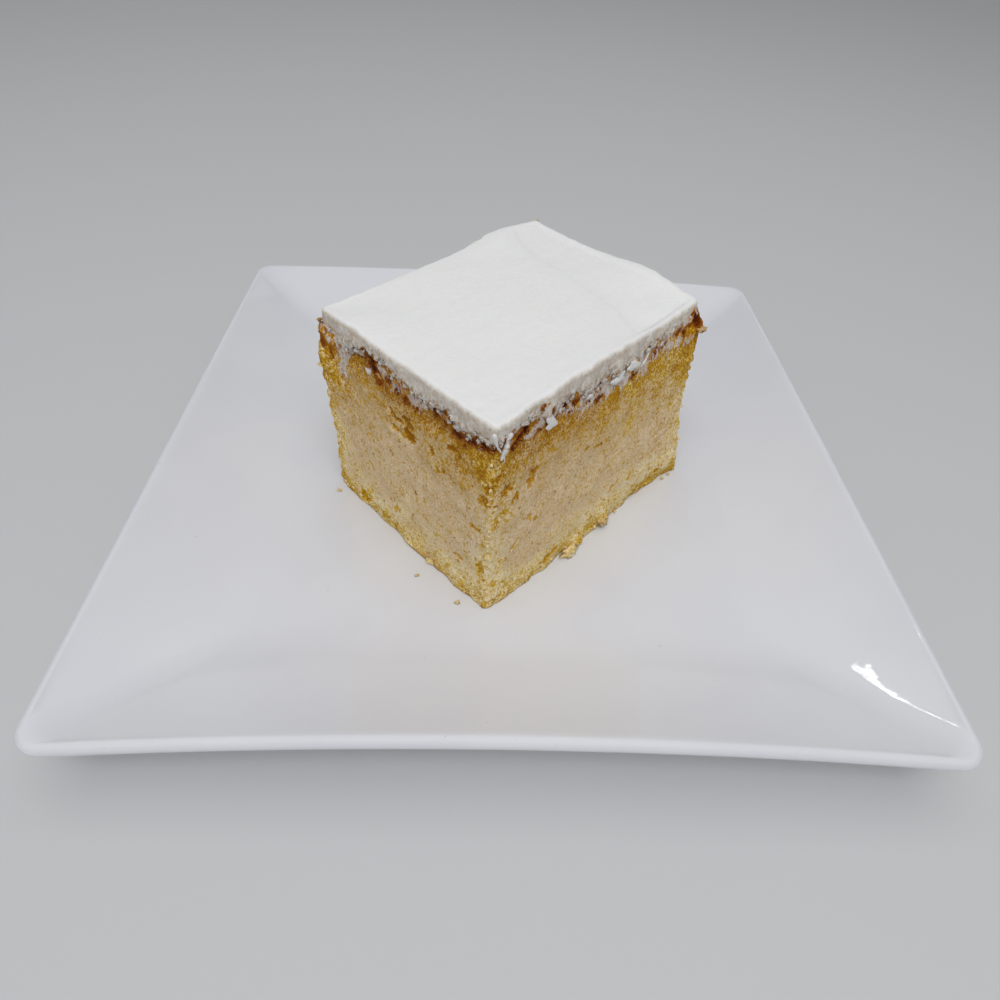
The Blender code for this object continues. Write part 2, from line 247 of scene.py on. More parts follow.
# Mesh from rings of points that all have the same count, closed at both ends
def skinFromRings(name, rings, masks=None):
    rings = np.asarray(rings)
    rows, count = rings.shape[:2]
    points = rings.reshape(-1, 3)
    rowStarts = np.arange(rows - 1)[:, None] * count
    lower = rowStarts + np.arange(count)[None, :]
    following = rowStarts + (np.arange(count)[None, :] + 1) % count
    quads = np.stack([lower, following, following + count, lower + count], axis=2).reshape(-1, 4)
    faces = [tuple(quad) for quad in quads.tolist()]
    ends = ((0, True), ((rows - 1) * count, False))
    for number, (first, turned) in enumerate(ends):
        middle = len(points) + number
        for step in range(count):
            a, b = first + step, first + (step + 1) % count
            faces.append((b, a, middle) if turned else (a, b, middle))
    points = np.vstack([points] + [points[first:first + count].mean(axis=0) for first, turned in ends])
    mesh = bpy.data.meshes.new(name)
    mesh.from_pydata(points.tolist(), [], faces)
    for maskName, values in (masks or {}).items():
        flat = np.zeros(len(points), dtype=np.float32)
        flat[:rows * count] = np.asarray(values, dtype=np.float32).reshape(-1)
        paintMask(mesh, maskName, flat)
    mesh.shade_smooth()
    mesh.update()
    return mesh


def meshFrom(builder, name):
    mesh = bpy.data.meshes.new(name)
    builder.to_mesh(mesh)
    builder.free()
    mesh.shade_smooth()
    return mesh


def addPiece(name, mesh, finish, replaced=None):
    mesh.materials.append(finish)
    piece = addObject(name, mesh)
    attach(piece, body)
    if replaced:
        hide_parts(replaced)
    print(name, "made with", len(mesh.polygons), "faces")


def bump(distance, reach):
    return np.exp(-(distance / reach) ** 2)


def smoothStep(value, low, high):
    share = np.clip((value - low) / (high - low), 0.0, 1.0)
    return share * share * (3 - 2 * share)


seedStep = Vector((3.17, 1.73, 2.39))  # how far each seed moves the noise


def noiseAt(points, size, seed):
    shift = seedStep * seed
    return np.array([noise.noise(Vector(spot) + shift) for spot in (points / size).tolist()])


# Clumps of crumb: for each point how far it is from the middle of its clump, how near the gap
# to the next clump it is, and a number between -1 and 1 that the whole clump shares
def clumpsAt(points, spacing, seed):
    shift = seedStep * seed
    away = np.zeros(len(points))
    gap = np.zeros(len(points))
    draw = np.zeros(len(points))
    for index, spot in enumerate((points / spacing).tolist()):
        distances, middles = noise.voronoi(Vector(spot) + shift)
        away[index] = distances[0]
        gap[index] = distances[1] - distances[0]
        draw[index] = noise.cell(middles[0] + shift)
    return away, gap, draw


# The slice's form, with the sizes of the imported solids
faceLengths = {"right": 86.0, "far": 66.5, "hidden": 86.0, "left": 66.5}  # mm, in order round the slice
cake = {
    "length": faceLengths["right"] * mm,
    "width": faceLengths["left"] * mm,
    "feet": ((-6.4, -60.1), (57.1, -1.9), (10.9, 46.0), (-52.6, -12.2)),  # front, right, back, left
    "tops": ((-6.3, -58.3), (48.1, 0.0), (6.5, 48.9), (-50.0, -12.7)),
    "heights": (61.8, 60.3, 58.7, 60.3),
    "edgeRadius": 1.5 * mm,
    "edgeArc": 5,
    "faceColumns": (226, 96, 120, 176),  # right, far, hidden and left face
    "gather": 0.04,  # how much the columns gather towards the upright edges
}
roundTrip = 2 * (cake["length"] + cake["width"])
faceStarts = {"right": 0.0, "far": cake["length"], "hidden": cake["length"] + cake["width"]}
rimSwells = (
    {"face": "far", "along": 19.0, "reach": 14.0, "rise": 1.5, "out": 1.7},
    {"face": "hidden", "along": 18.0, "reach": 13.0, "rise": 1.3, "out": 1.5},
    {"face": "right", "along": 33.0, "reach": 16.0, "rise": 0.8, "out": 0.0},
    {"face": "right", "along": 68.0, "reach": 12.0, "rise": -0.8, "out": 0.0},
    {"face": "left", "along": 56.0, "reach": 8.0, "rise": 0.7, "out": 0.0},
)


def distanceRound(face, along):
    if face == "left":
        return roundTrip - along * mm
    return faceStarts[face] + along * mm


def gapRound(roundPlace, face, along):
    gap = np.abs(roundPlace - distanceRound(face, along))
    return np.minimum(gap, roundTrip - gap) / mm


# 1 at a place along a face, fading out over the reach (mm) to both sides
def nearSpot(roundPlace, face, along, reach):
    return bump(gapRound(roundPlace, face, along), reach)


def sliceStations():
    halfX, halfY, radius = cake["length"] / 2, cake["width"] / 2, cake["edgeRadius"]
    corners = (((-1, -1), (1, -1), (0, -1)), ((1, -1), (1, 1), (1, 0)),
               ((1, 1), (-1, 1), (0, 1)), ((-1, 1), (-1, -1), (-1, 0)))
    places, facings, rounds = [], [], []
    startRound = 0.0
    for count, (start, end, facing) in zip(cake["faceColumns"], corners):
        begin = Vector((start[0] * (halfX - radius), start[1] * (halfY - radius)))
        finish = Vector((end[0] * (halfX - radius), end[1] * (halfY - radius)))
        facing = Vector(facing)
        run = (finish - begin).length
        for step in range(count + 1):
            share = step / count
            share -= cake["gather"] * math.sin(2 * math.pi * share)
            places.append(begin.lerp(finish, share) + facing * radius)
            facings.append(facing)
            rounds.append(startRound + radius + run * share)
        startRound += run + 2 * radius
        for step in range(1, cake["edgeArc"] + 1):
            angle = math.pi / 2 * step / (cake["edgeArc"] + 1)
            outward = facing * math.cos(angle) + Vector((-facing.y, facing.x)) * math.sin(angle)
            places.append(finish + outward * radius)
            facings.append(outward)
            rounds.append(startRound % roundTrip)
    return np.array(places), np.array(facings), np.array(rounds)


def slicePoint(plan, share):
    across = plan[..., 0] / (cake["length"] / 2)
    deep = plan[..., 1] / (cake["width"] / 2)
    weights = np.stack([(1 - across) * (1 - deep), (1 + across) * (1 - deep),
                        (1 + across) * (1 + deep), (1 - across) * (1 + deep)], axis=-1) / 4
    feet = weights @ (np.array(cake["feet"]) * mm)
    tops = weights @ (np.array(cake["tops"]) * mm)
    heights = weights @ (np.array(cake["heights"]) * mm)
    share = np.broadcast_to(share, heights.shape)
    flat = feet + (tops - feet) * share[..., None]
    return np.concatenate([flat, (heights * share)[..., None]], axis=-1)


def sliceHeight(plan):
    return slicePoint(plan, 1.0)[..., 2]


# Plan places as points at no height
def flatPoints(plan):
    return np.concatenate([plan, np.zeros((len(plan), 1))], axis=1)


def sideSwell(roundPlace, way):
    return sum(swell[way] * mm * nearSpot(roundPlace, swell["face"], swell["along"], swell["reach"])
               for swell in rimSwells)


def facePlan(face, along):
    halfX, halfY = cake["length"] / 2, cake["width"] / 2
    plans = {"right": (-halfX + along * mm, -halfY), "far": (halfX, -halfY + along * mm),
             "hidden": (halfX - along * mm, halfY), "left": (-halfX, -halfY + along * mm)}
    return np.array(plans[face])


faceFacings = {"right": (0.0, -1.0), "far": (1.0, 0.0), "hidden": (0.0, 1.0), "left": (-1.0, 0.0)}


# A point on one of the slice's faces, with the directions sideways, upwards and outwards there
def onFace(face, along, height, out):
    place, facing = facePlan(face, along), np.array(faceFacings[face])
    share = height * mm / sliceHeight(place)
    foot = slicePoint(place, share)
    point = slicePoint(place + facing * out * mm, share)
    outward = slicePoint(place + facing * mm, share) - foot
    sideways = slicePoint(facePlan(face, along + 1), share) - foot
    axes = (Vector(sideways).normalized(), Vector((0.0, 0.0, 1.0)), Vector(outward).normalized())
    return Vector(point + np.array([0.0, 0.0, seatLevel])), axes


# Rows that are listed under their face, as a plain list with the face in front
def byFace(listed):
    return [(face, *row) for face, rows in listed.items() for row in rows]


# Cream: how far it comes down and how far it stands out
cream = {
    "thickness": 5.0 * mm,
    # how far the torn edge hangs down: distance along the face, drop (mm)
    "edgeLine": {
        "right": ((0.4, 4.9), (4.0, 3.9), (8.0, 4.3), (10.4, 4.4), (14.0, 4.4), (18.0, 6.3), (21.0, 6.0),
                  (24.0, 5.2), (30.0, 5.3), (36.0, 6.1), (42.0, 6.3), (48.0, 7.2), (53.0, 6.2), (58.0, 6.8),
                  (63.0, 5.5), (70.0, 5.6), (76.0, 5.6), (80.5, 5.4), (82.5, 3.6), (85.5, 2.8)),
        "far": ((2.0, 5.0),),
        "hidden": ((84.0, 5.0),),
        "left": ((66.0, 5.2), (62.5, 5.2), (57.5, 5.2), (53.0, 5.6), (48.9, 4.4), (43.7, 3.4), (38.5, 3.6),
                 (32.6, 4.7), (27.0, 6.5), (22.0, 5.7), (19.0, 5.4), (16.5, 4.4), (14.2, 4.6), (12.8, 7.0),
                 (9.0, 6.6), (6.6, 6.2), (4.0, 5.2), (2.1, 4.7), (0.5, 5.2)),
    },
    "tear": 0.5 * mm,
    "tearLength": 4.2 * mm,
    "fineTear": 0.8 * mm,
    "fineTearLength": 1.7 * mm,
    "tooth": 0.9 * mm,
    "toothLength": 2.3 * mm,
    "hairTear": 0.5 * mm,
    "hairTearLength": 1.0 * mm,
    "toothSharpness": 2.4,
    "lipTuck": 0.5 * mm,
    "lipThickness": 0.25 * mm,
    "lowestTuck": 0.35 * mm,  # the cut side's lowest rows draw in by this much
    "proud": 0.35 * mm,
    "lump": 0.5 * mm,
    "lumpLength": 3.4 * mm,
    "fineLump": 0.34 * mm,
    "fineLumpLength": 1.3 * mm,
    "finestLumpLength": 0.7 * mm,
    "roughness": (0.20, 0.80),  # the shares up the cut side between which the rough part ends
    "roll": 1.2 * mm,
    "rollTuck": 0.6,  # share of the roll by which the top is drawn in
    "wave": 0.45 * mm,
    "waveLength": 24.0 * mm,
    "step": 0.7 * mm,
    "sharpStep": 0.3,  # share of the knife step that falls at once
    "softStepLength": 2.0,  # mm
    "sharpStepLength": 0.25,
    "stroke": 0.10 * mm,
    "strokeLength": 2.6 * mm,
    "strokeStretch": 0.22,  # how fast a stroke changes along its length, where 1 is as fast as across
    "broadStrokeLength": 7.0 * mm,
    "underside": ((0.35, 0.0), (0.8, 0.0), (0.97, 0.2)),  # size of each ring, share of the torn drop
    "sideRows": 14,
    "rollRows": 6,
    "topRows": 58,
    "topSizes": (0.99, 0.015),  # of the first and the last ring
    "topGather": 1.25,  # how much the rings gather at the rim
    # lobes of the torn edge: distance along the face, reach, drop, swell (mm)
    "lobes": {
        "right": ((4.0, 0.9, 0.8, 0.3), (19.0, 2.0, 0.8, 0.6), (34.8, 2.2, 0.8, 0.6), (46.8, 2.2, 0.9, 0.7),
                  (53.3, 1.8, 0.6, 0.5)),
        "left": ((0.9, 0.5, 0.9, 0.1), (2.6, 0.5, 0.8, 0.1), (4.3, 0.6, 0.6, 0.1), (57.9, 2.2, 4.2, 0.4)),
    },
    # small dents in the top: plan place, reach and depth (mm)
    "dents": ((-41.2, -25.2, 1.4, 0.35), (-30.0, 6.0, 0.35, 0.12), (-8.0, -14.0, 0.3, 0.12),
              (4.0, 10.0, 0.4, 0.12), (-19.0, 17.0, 0.3, 0.1), (16.0, -20.0, 0.35, 0.12),
              (-2.0, 24.0, 0.3, 0.1), (-33.0, -12.0, 0.3, 0.12)),
    # the line of the knife step over the top, as deep and across shares of the slice
    "stepLine": ((-0.95, 0.33), (-0.66, 0.45), (-0.27, 0.50), (0.18, 0.55), (0.64, 0.60), (1.07, 0.74)),
}


def creamDrop(places, roundPlace):
    flat = flatPoints(places)
    rows = byFace(cream["edgeLine"])
    edge = sorted((distanceRound(face, along), lower * mm) for face, along, lower in rows)
    drop = np.interp(roundPlace, *zip(*edge), period=roundTrip)
    drop += cream["tear"] * noiseAt(flat, cream["tearLength"], 1)
    drop += cream["fineTear"] * noiseAt(flat, cream["fineTearLength"], 2)
    # teeth with sharp tips
    for part, seed in (("tooth", 11), ("hairTear", 16)):
        notch = np.abs(noiseAt(flat, cream[part + "Length"], seed)) * cream["toothSharpness"]
        drop += cream[part] * (0.5 - notch)
    for face, along, wide, lower, out in byFace(cream["lobes"]):
        drop += lower * mm * nearSpot(roundPlace, face, along, wide)
    return drop


def creamSwell(points, roundPlace):
    swell = cream["proud"] + cream["lump"] * noiseAt(points, cream["lumpLength"], 5)
    for face, along, wide, lower, out in byFace(cream["lobes"]):
        swell += out * mm * nearSpot(roundPlace, face, along, wide)
    return swell + sideSwell(roundPlace, "out")


def topRelief(plan):
    across = plan[:, 0] / (cake["length"] / 2)
    deep = plan[:, 1] / (cake["width"] / 2)
    flat = flatPoints(plan)
    relief = cream["wave"] * noiseAt(flat, cream["waveLength"], 3)
    line = np.interp(deep, *zip(*cream["stepLine"]))
    beyond = (across - line) * cake["length"] / 2 / mm
    soft, sharp = (1 / (1 + np.exp(-beyond / cream[part])) for part in ("softStepLength", "sharpStepLength"))
    relief -= cream["step"] * (soft * (1 - cream["sharpStep"]) + sharp * cream["sharpStep"])
    # knife strokes run across the slice, a little wavy
    strokes = flat * np.array([cream["strokeStretch"], 1.0, 1.0])
    relief += cream["stroke"] * noiseAt(strokes, cream["strokeLength"], 12)
    relief += cream["stroke"] * 0.8 * noiseAt(flat, cream["broadStrokeLength"], 13)
    for x, y, reach, depth in cream["dents"]:
        relief -= depth * mm * bump(np.hypot(plan[:, 0] / mm - x, plan[:, 1] / mm - y), reach)
    return relief


def buildCream(places, facings, rounds, drops, finish):
    lift = np.array([0.0, 0.0, seatLevel])
    full = sliceHeight(places)
    rings, cut, stain, crust = [], [], [], []
    feet = slicePoint(places, 0.0)

    def addRing(points, cutShare, stainShare=0.0, crustShare=0.0):
        rings.append(points + lift)
        for mask, share in ((cut, cutShare), (stain, stainShare), (crust, crustShare)):
            mask.append(np.broadcast_to(share, len(places)))

    # the hidden underside, then the torn lip, then up the cut side
    for scale, deeper in cream["underside"]:
        depth = cream["thickness"] + (drops - cream["thickness"]) * deeper
        plan = places * scale
        addRing(slicePoint(plan, 1 - depth / sliceHeight(plan)), 1.0)
    plan = places - facings * cream["lipTuck"]
    addRing(slicePoint(plan, 1 - (drops - cream["lipThickness"]) / full), 1.0, 1.0)
    for row in range(cream["sideRows"]):
        share = row / (cream["sideRows"] - 1)
        height = full - cream["roll"] - (drops - cream["roll"]) * (1 - share)
        points = feet + np.stack([0 * height, 0 * height, height], axis=1)
        reach = creamSwell(points, rounds)
        rough = 1 - smoothStep(share, *cream["roughness"])
        reach += cream["fineLump"] * rough * noiseAt(points, cream["fineLumpLength"], 14)
        reach += cream["fineLump"] * 0.6 * rough * noiseAt(points, cream["finestLumpLength"], 15)
        reach -= cream["lowestTuck"] * bump(share, 0.12)
        plan = places + facings * reach[:, None]
        points = slicePoint(plan, height / full)
        points[:, 2] += sideSwell(rounds, "rise") * share
        crumbs = np.maximum(patchesAt(rounds, height, crustPatches), 0.40 * bump(share - 0.05, 0.55))
        addRing(points, 1.0, 1 - smoothStep(share, 0.0, 0.75), crumbs)
    for row in range(1, cream["rollRows"] + 1):
        turn = math.radians(90.0 * row / (cream["rollRows"] + 1))
        height = full - cream["roll"] * (1 - math.sin(turn))
        ends = feet + np.stack([0 * full, 0 * full, full - cream["roll"]], axis=1)
        reach = creamSwell(ends, rounds) - cream["roll"] * (1 - math.cos(turn))
        points = slicePoint(places + facings * reach[:, None], height / full)
        points[:, 2] += sideSwell(rounds, "rise")
        # painted shade: the roll passes from the cut side's darker colour to the top's as it turns up
        addRing(points, 1 - smoothStep(row / (cream["rollRows"] + 1), 0.15, 0.85))
    # the top, in rings that lie closer near its rim
    widest, smallest = cream["topSizes"]
    for row in range(cream["topRows"]):
        scale = widest - (widest - smallest) * (row / (cream["topRows"] - 1)) ** cream["topGather"]
        plan = places * scale - facings * (cream["roll"] * cream["rollTuck"] * scale)
        points = slicePoint(plan, 1.0)
        fade = min(1.0, (1 - scale) / 0.05)
        points[:, 2] += topRelief(plan) * fade + sideSwell(rounds, "rise") * bump(1 - scale, 0.22)
        addRing(points, 0.0)
    mesh = skinFromRings("creamLayer", rings, {"cut": cut, "stain": stain, "crust": crust})
    addPiece("creamLayer", mesh, finish, "cream_topping")


# Sponge: the crumb, its pores, holes and cracks
sponge = {
    "rows": 148,
    "tuckedTop": 1.2 * mm,  # goes up under the cream
    "topDrawnIn": 0.5 * mm,
    "sunkFoot": 0.26 * mm,  # the foot sinks onto the glaze
    "crumbRelief": 0.45 * mm,
    "crumbGrain": 5.5 * mm,
    "faceWave": 0.55 * mm,
    "faceWaveLength": 17.0 * mm,
    "baseFlare": 0.7 * mm,
    "baseFlareHeight": 5.0 * mm,
    "crustRecess": 0.2 * mm,
    "crustHeight": 5.0 * mm,
    # where the crumb is coarser: distance along the face, strength, reach (mm)
    "coarseEdges": {"right": ((0.0, 0.45, 6.0), (86.0, 0.55, 9.0)), "far": ((66.5, 0.6, 6.0),),
                    "left": ((66.5, 0.75, 7.0),)},
    "coarseFoot": (0.60, 9.0),  # strength and reach upwards (mm)
    "coarseTop": (0.35, 8.0),
    # size and depth of the finer grain, mm
    "grains": ((2.6, 0.10), (1.2, 0.07), (0.75, 0.05)),
    # clumps: spacing, how far they bulge, how deep the gaps are, and the share of them that is missing
    "clumps": ((3.2, 0.40, 0.11, 0.05), (1.6, 0.18, 0.07, 0.09)),
    "clumpWarp": 0.7 * mm,
    "clumpWarpLength": 1.8 * mm,
    "crevice": 0.14,  # width of the gaps between clumps, as a share of their spacing
    # torn upright edges: distance along the face (mm)
    "tornEdges": {"right": ((86.0,),), "left": ((66.5,),)},
    "tornEdge": 0.75 * mm,
    "tornReach": 2.6,  # mm
    "tornLength": 2.1 * mm,
    "holeShare": 0.45,  # how much of a hole's depth is carved, the rest is shade
    "holeRim": 0.08 * mm,
    # ridges that the knife left near the right edge
    "ridgeHeight": 0.07 * mm,
    "ridgeSpacing": 2.5,  # mm
    "ridgeSlope": 0.18,
    # cream wiped over the crumb, and the rough crust, stand out by this much
    "wipedRise": 0.30 * mm,
    "crustRise": 0.45 * mm,
    # how far the golden crumb reaches below the crust (mm), and where it reaches further:
    # distance along the face, reach sideways, how much further (mm)
    "golden": 23.0,
    "goldenSpots": {"left": ((68.0, 14.0, 7.0), (50.0, 9.0, 3.5)),
                    "right": ((4.0, 9.0, 5.5), (20.0, 9.0, 2.5), (62.0, 22.0, 7.5), (86.5, 6.0, 9.0),
                              (89.6, 10.0, 8.0))},
    # stretches round the slice, each a soft start and a soft end (mm): the hidden faces, the open
    # crumb towards the right end and the golden crumb there
    "hidden": ((86.0, 90.0), (235.0, 239.0)),
    "open": ((40.0, 85.0), (150.0, 200.0)),
    "goldenEnd": ((30.0, 55.0), (150.0, 200.0)),
    # how soaked the crumb looks, from 0 to 1: everywhere, under the crust, by the crust, at the
    # foot and at the two far ends, with painted shade in hollows and a painted highlight on tips
    "soaked": 0.29,
    "goldenSoak": 0.50,
    "crustSoak": 0.20,
    "footSoak": 0.15,
    "endSoak": 0.12,
    "driftSoak": 0.22,
    "hollowDarkening": 0.48,
    "goldenHollowDarkening": 0.29,
    "tipHighlight": -0.16,
    # broad swells and dips: distance along the face, height, reach sideways, reach upwards, swell (mm)
    "swells": {
        "left": ((66.5, 46.0, 7.0, 20.0, 2.4), (48.2, 54.0, 3.4, 3.0, -0.8),
                 (21.1, 51.0, 3.0, 2.4, -0.8), (33.5, 43.0, 4.2, 4.0, -0.9)),
        "right": ((86.0, 49.0, 8.0, 13.0, 1.9), (85.0, 26.0, 7.0, 9.0, -0.3),
                  (86.0, 53.5, 2.4, 2.0, 1.5), (36.5, 1.0, 2.2, 2.0, 2.4), (48.5, 1.5, 2.4, 2.2, 1.3),
                  (68.0, 0.0, 15.0, 4.5, -1.7), (42.0, 0.0, 9.0, 3.5, -0.8),
                  (13.0, 38.8, 3.2, 3.0, -0.6), (31.5, 40.5, 3.4, 2.4, -0.5)),
    },
    # holes that show from a step away, in the same order with their depth last
    "holes": {
        "left": ((31.2, 44.3, 1.4, 1.5, 1.7), (31.0, 40.8, 1.9, 1.2, 2.3), (14.7, 47.0, 1.3, 0.7, 1.3),
                 (11.5, 46.7, 0.7, 0.6, 0.9), (21.4, 42.0, 0.7, 0.7, 0.8), (19.2, 37.7, 0.6, 0.5, 0.5),
                 (17.2, 38.4, 0.5, 0.4, 0.5), (53.2, 2.6, 1.4, 1.6, 1.6), (5.4, 27.6, 1.5, 0.5, 0.9),
                 (1.6, 23.9, 1.1, 0.4, 0.9), (2.6, 15.2, 1.0, 1.7, 1.6), (1.3, 43.3, 1.0, 0.9, 1.2),
                 (37.0, 9.7, 0.9, 0.8, 0.8), (3.4, 38.2, 0.8, 0.8, 0.9), (11.1, 11.9, 1.1, 0.4, 0.8)),
        "right": ((14.2, 26.3, 0.8, 0.8, 1.0), (16.7, 24.1, 0.7, 0.6, 1.0), (15.1, 40.5, 0.7, 0.9, 1.4),
                  (14.5, 38.2, 0.8, 0.8, 1.4), (5.4, 41.0, 1.3, 0.9, 1.1), (9.0, 36.9, 0.9, 0.8, 1.3),
                  (14.0, 36.6, 0.5, 0.5, 0.8), (42.8, 33.7, 1.0, 0.6, 1.1), (40.4, 34.4, 0.6, 0.5, 0.8),
                  (36.0, 36.0, 0.6, 0.6, 0.9), (26.7, 3.8, 0.9, 0.6, 0.9), (66.7, 3.4, 0.9, 0.7, 1.1),
                  (51.4, 12.6, 0.7, 0.6, 0.8), (58.9, 11.8, 0.9, 0.7, 1.0), (74.1, 5.8, 0.9, 0.7, 1.0),
                  (61.4, 4.8, 0.7, 0.6, 0.9), (1.1, 46.6, 0.9, 0.8, 1.1), (-0.7, 44.1, 1.0, 1.1, 1.1),
                  (-1.6, 39.0, 1.0, 1.2, 1.3), (22.9, 3.1, 1.3, 0.8, 0.9)),
    },
    # thin cracks: start and end as distance and height, width, depth (mm)
    "cracks": {
        "left": (((38.1, 44.8), (36.8, 42.6), 0.35, 0.9), ((36.8, 42.6), (34.0, 42.5), 0.4, 1.0),
                 ((37.3, 40.1), (33.9, 38.8), 0.4, 1.0), ((30.4, 23.4), (28.0, 20.5), 0.35, 0.35)),
        "right": (((8.1, 18.5), (10.5, 20.3), 0.4, 0.9), ((25.1, 48.0), (25.8, 45.6), 0.3, 0.4)),
    },
    # small lumps that stand out of the crumb, with a painted highlight on top
    "knobs": {
        "left": ((33.9, 47.1, 1.0, 0.8, 0.9), (39.2, 43.1, 0.9, 0.9, 0.6), (37.7, 38.4, 1.0, 0.7, 0.6),
                 (69.4, 43.7, 1.2, 0.7, 0.9), (0.3, 20.2, 1.0, 0.8, 0.7), (0.8, 47.4, 1.4, 1.1, 0.5)),
        "right": ((92.9, 38.3, 1.1, 0.8, 1.0), (92.2, 33.6, 1.0, 0.9, 0.9)),
    },
}
# Where the browned crust shows: distance along the face, height, reach sideways and upwards (mm), strength
crustPatches = byFace({
    "left": ((68.4, 51.2, 1.4, 2.2, 0.85), (64.9, 52.6, 1.5, 1.8, 0.8), (61.9, 50.0, 0.8, 2.4, 0.8),
             (67.2, 56.1, 1.2, 0.8, 0.7), (63.1, 55.8, 1.6, 0.9, 0.7), (46.3, 56.6, 2.2, 1.6, 1.0),
             (45.2, 55.6, 1.6, 0.9, 1.4), (50.5, 54.6, 1.8, 1.2, 1.0), (44.2, 53.6, 2.6, 0.8, 1.4),
             (41.4, 51.6, 2.2, 1.6, 0.8), (37.9, 53.7, 1.2, 1.6, 0.8), (34.5, 53.1, 1.6, 1.8, 0.75),
             (31.0, 51.5, 2.0, 1.2, 0.85), (27.4, 51.1, 1.6, 0.8, 0.8), (20.3, 54.5, 1.5, 1.8, 1.1),
             (14.4, 56.3, 0.7, 0.7, 1.5), (16.7, 53.0, 1.3, 0.9, 1.0), (12.4, 52.8, 2.0, 1.2, 1.35),
             (8.2, 53.8, 2.2, 1.1, 1.35), (3.8, 55.0, 2.2, 1.0, 1.3), (0.2, 55.9, 1.8, 0.9, 1.3)),
    "right": ((2.3, 56.7, 1.2, 1.5, 1.3), (6.6, 53.7, 1.3, 1.0, 1.2), (8.8, 54.8, 1.6, 0.9, 1.25),
              (11.0, 55.7, 0.9, 0.8, 1.5), (4.7, 58.4, 2.0, 0.6, 0.75), (19.2, 57.2, 0.6, 1.5, 1.1),
              (16.6, 59.4, 1.6, 0.6, 0.8), (15.6, 53.2, 1.8, 0.7, 0.8), (25.2, 55.1, 0.9, 0.9, 1.2),
              (26.6, 52.5, 0.9, 0.7, 1.1), (29.2, 54.1, 1.3, 0.8, 1.3), (33.6, 51.7, 1.3, 0.6, 0.8),
              (40.0, 50.2, 1.8, 0.9, 1.1), (50.1, 54.4, 1.2, 1.0, 0.9), (54.9, 50.1, 2.0, 1.0, 0.9),
              (65.2, 52.4, 1.8, 1.3, 0.95), (69.8, 53.4, 1.8, 0.8, 1.0), (75.6, 54.2, 1.3, 0.6, 0.7),
              (79.0, 53.4, 1.0, 1.2, 1.1), (84.0, 56.6, 1.7, 2.3, 1.3), (85.8, 52.6, 2.0, 1.0, 1.0)),
})
# Where cream is wiped down over the crust, thin enough to look lavender grey
wipedPatches = byFace({
    "left": ((57.5, 50.8, 1.9, 5.2, 1.15), (62.0, 54.4, 2.4, 2.0, 0.9), (53.4, 55.2, 2.2, 1.0, 0.9),
             (40.0, 54.8, 2.8, 1.6, 0.95), (34.7, 53.6, 2.8, 2.2, 0.95), (28.2, 52.6, 3.2, 2.2, 0.95),
             (46.0, 52.2, 1.2, 0.8, 1.1), (23.6, 53.7, 2.2, 1.2, 0.9), (16.9, 53.9, 1.2, 1.4, 0.8)),
    "right": ((12.5, 53.7, 2.2, 1.0, 1.05), (16.3, 55.2, 2.2, 1.8, 0.95), (23.1, 55.9, 2.2, 1.0, 0.8),
              (27.3, 53.2, 2.6, 2.4, 0.95), (34.3, 52.2, 3.4, 2.6, 1.05), (42.9, 51.4, 3.6, 2.4, 1.1),
              (51.2, 51.0, 3.4, 2.4, 1.05), (58.6, 51.4, 3.4, 2.6, 1.15), (65.4, 52.6, 3.0, 2.4, 1.0),
              (71.0, 53.0, 3.2, 2.8, 1.0), (76.0, 52.0, 2.8, 2.0, 0.85), (80.5, 50.8, 2.0, 1.4, 0.7)),
})


# How far each place is from a spot on a face, in shares of the spot's reach sideways and upwards
def awayFrom(roundPlace, height, face, along, level, wide, tall):
    return np.hypot(gapRound(roundPlace, face, along) / wide, (height / mm - level) / tall)


# How strongly the nearest patch of a list shows at each place
def patchesAt(roundPlace, height, patches):
    field = np.zeros(np.shape(roundPlace))
    for *spot, strength in patches:
        field = np.maximum(field, strength * bump(awayFrom(roundPlace, height, *spot), 1.35))
    return field


# 1 over a stretch round the slice and 0 beyond it
def stretchAt(roundPlace, start, end):
    return smoothStep(roundPlace / mm, *start) * (1 - smoothStep(roundPlace / mm, *end))


def segmentGap(sideways, upwards, start, end):
    run = np.array(end) - np.array(start)
    offset = np.stack([sideways - start[0], upwards - start[1]], axis=-1)
    share = np.clip(offset @ run / (run @ run), 0.0, 1.0)
    return np.linalg.norm(offset - share[..., None] * run, axis=-1)


# Signed distance along a face from its front edge, in mm
def alongFace(roundPlace, face):
    return (roundTrip - roundPlace if face == "left" else roundPlace - faceStarts[face]) / mm


# How far down the golden crumb reaches, in mm, round the slice
def goldenReach(roundPlace):
    reach = np.full(len(roundPlace), sponge["golden"])
    for face, along, wide, more in byFace(sponge["goldenSpots"]):
        reach = np.maximum(reach, sponge["golden"] + more * nearSpot(roundPlace, face, along, wide))
    return reach


# The broad relief of the cut faces
def broadRelief(points, roundPlace, height, below, full):
    relief = sponge["faceWave"] * noiseAt(points, sponge["faceWaveLength"], 2)
    relief += sponge["crumbRelief"] * noiseAt(points, sponge["crumbGrain"], 1)
    flare = sponge["baseFlare"] * np.exp(-height / sponge["baseFlareHeight"])
    relief += flare * (1 + noiseAt(points, sponge["crumbGrain"], 4))
    relief += sideSwell(roundPlace, "out") * height / full
    relief -= sponge["crustRecess"] * bump(below - sponge["crustHeight"] / 2, sponge["crustHeight"] / 2)
    for face, along, level, wide, tall, swell in byFace(sponge["swells"]):
        relief += swell * mm * nearSpot(roundPlace, face, along, wide) * bump(height / mm - level, tall)
    return relief


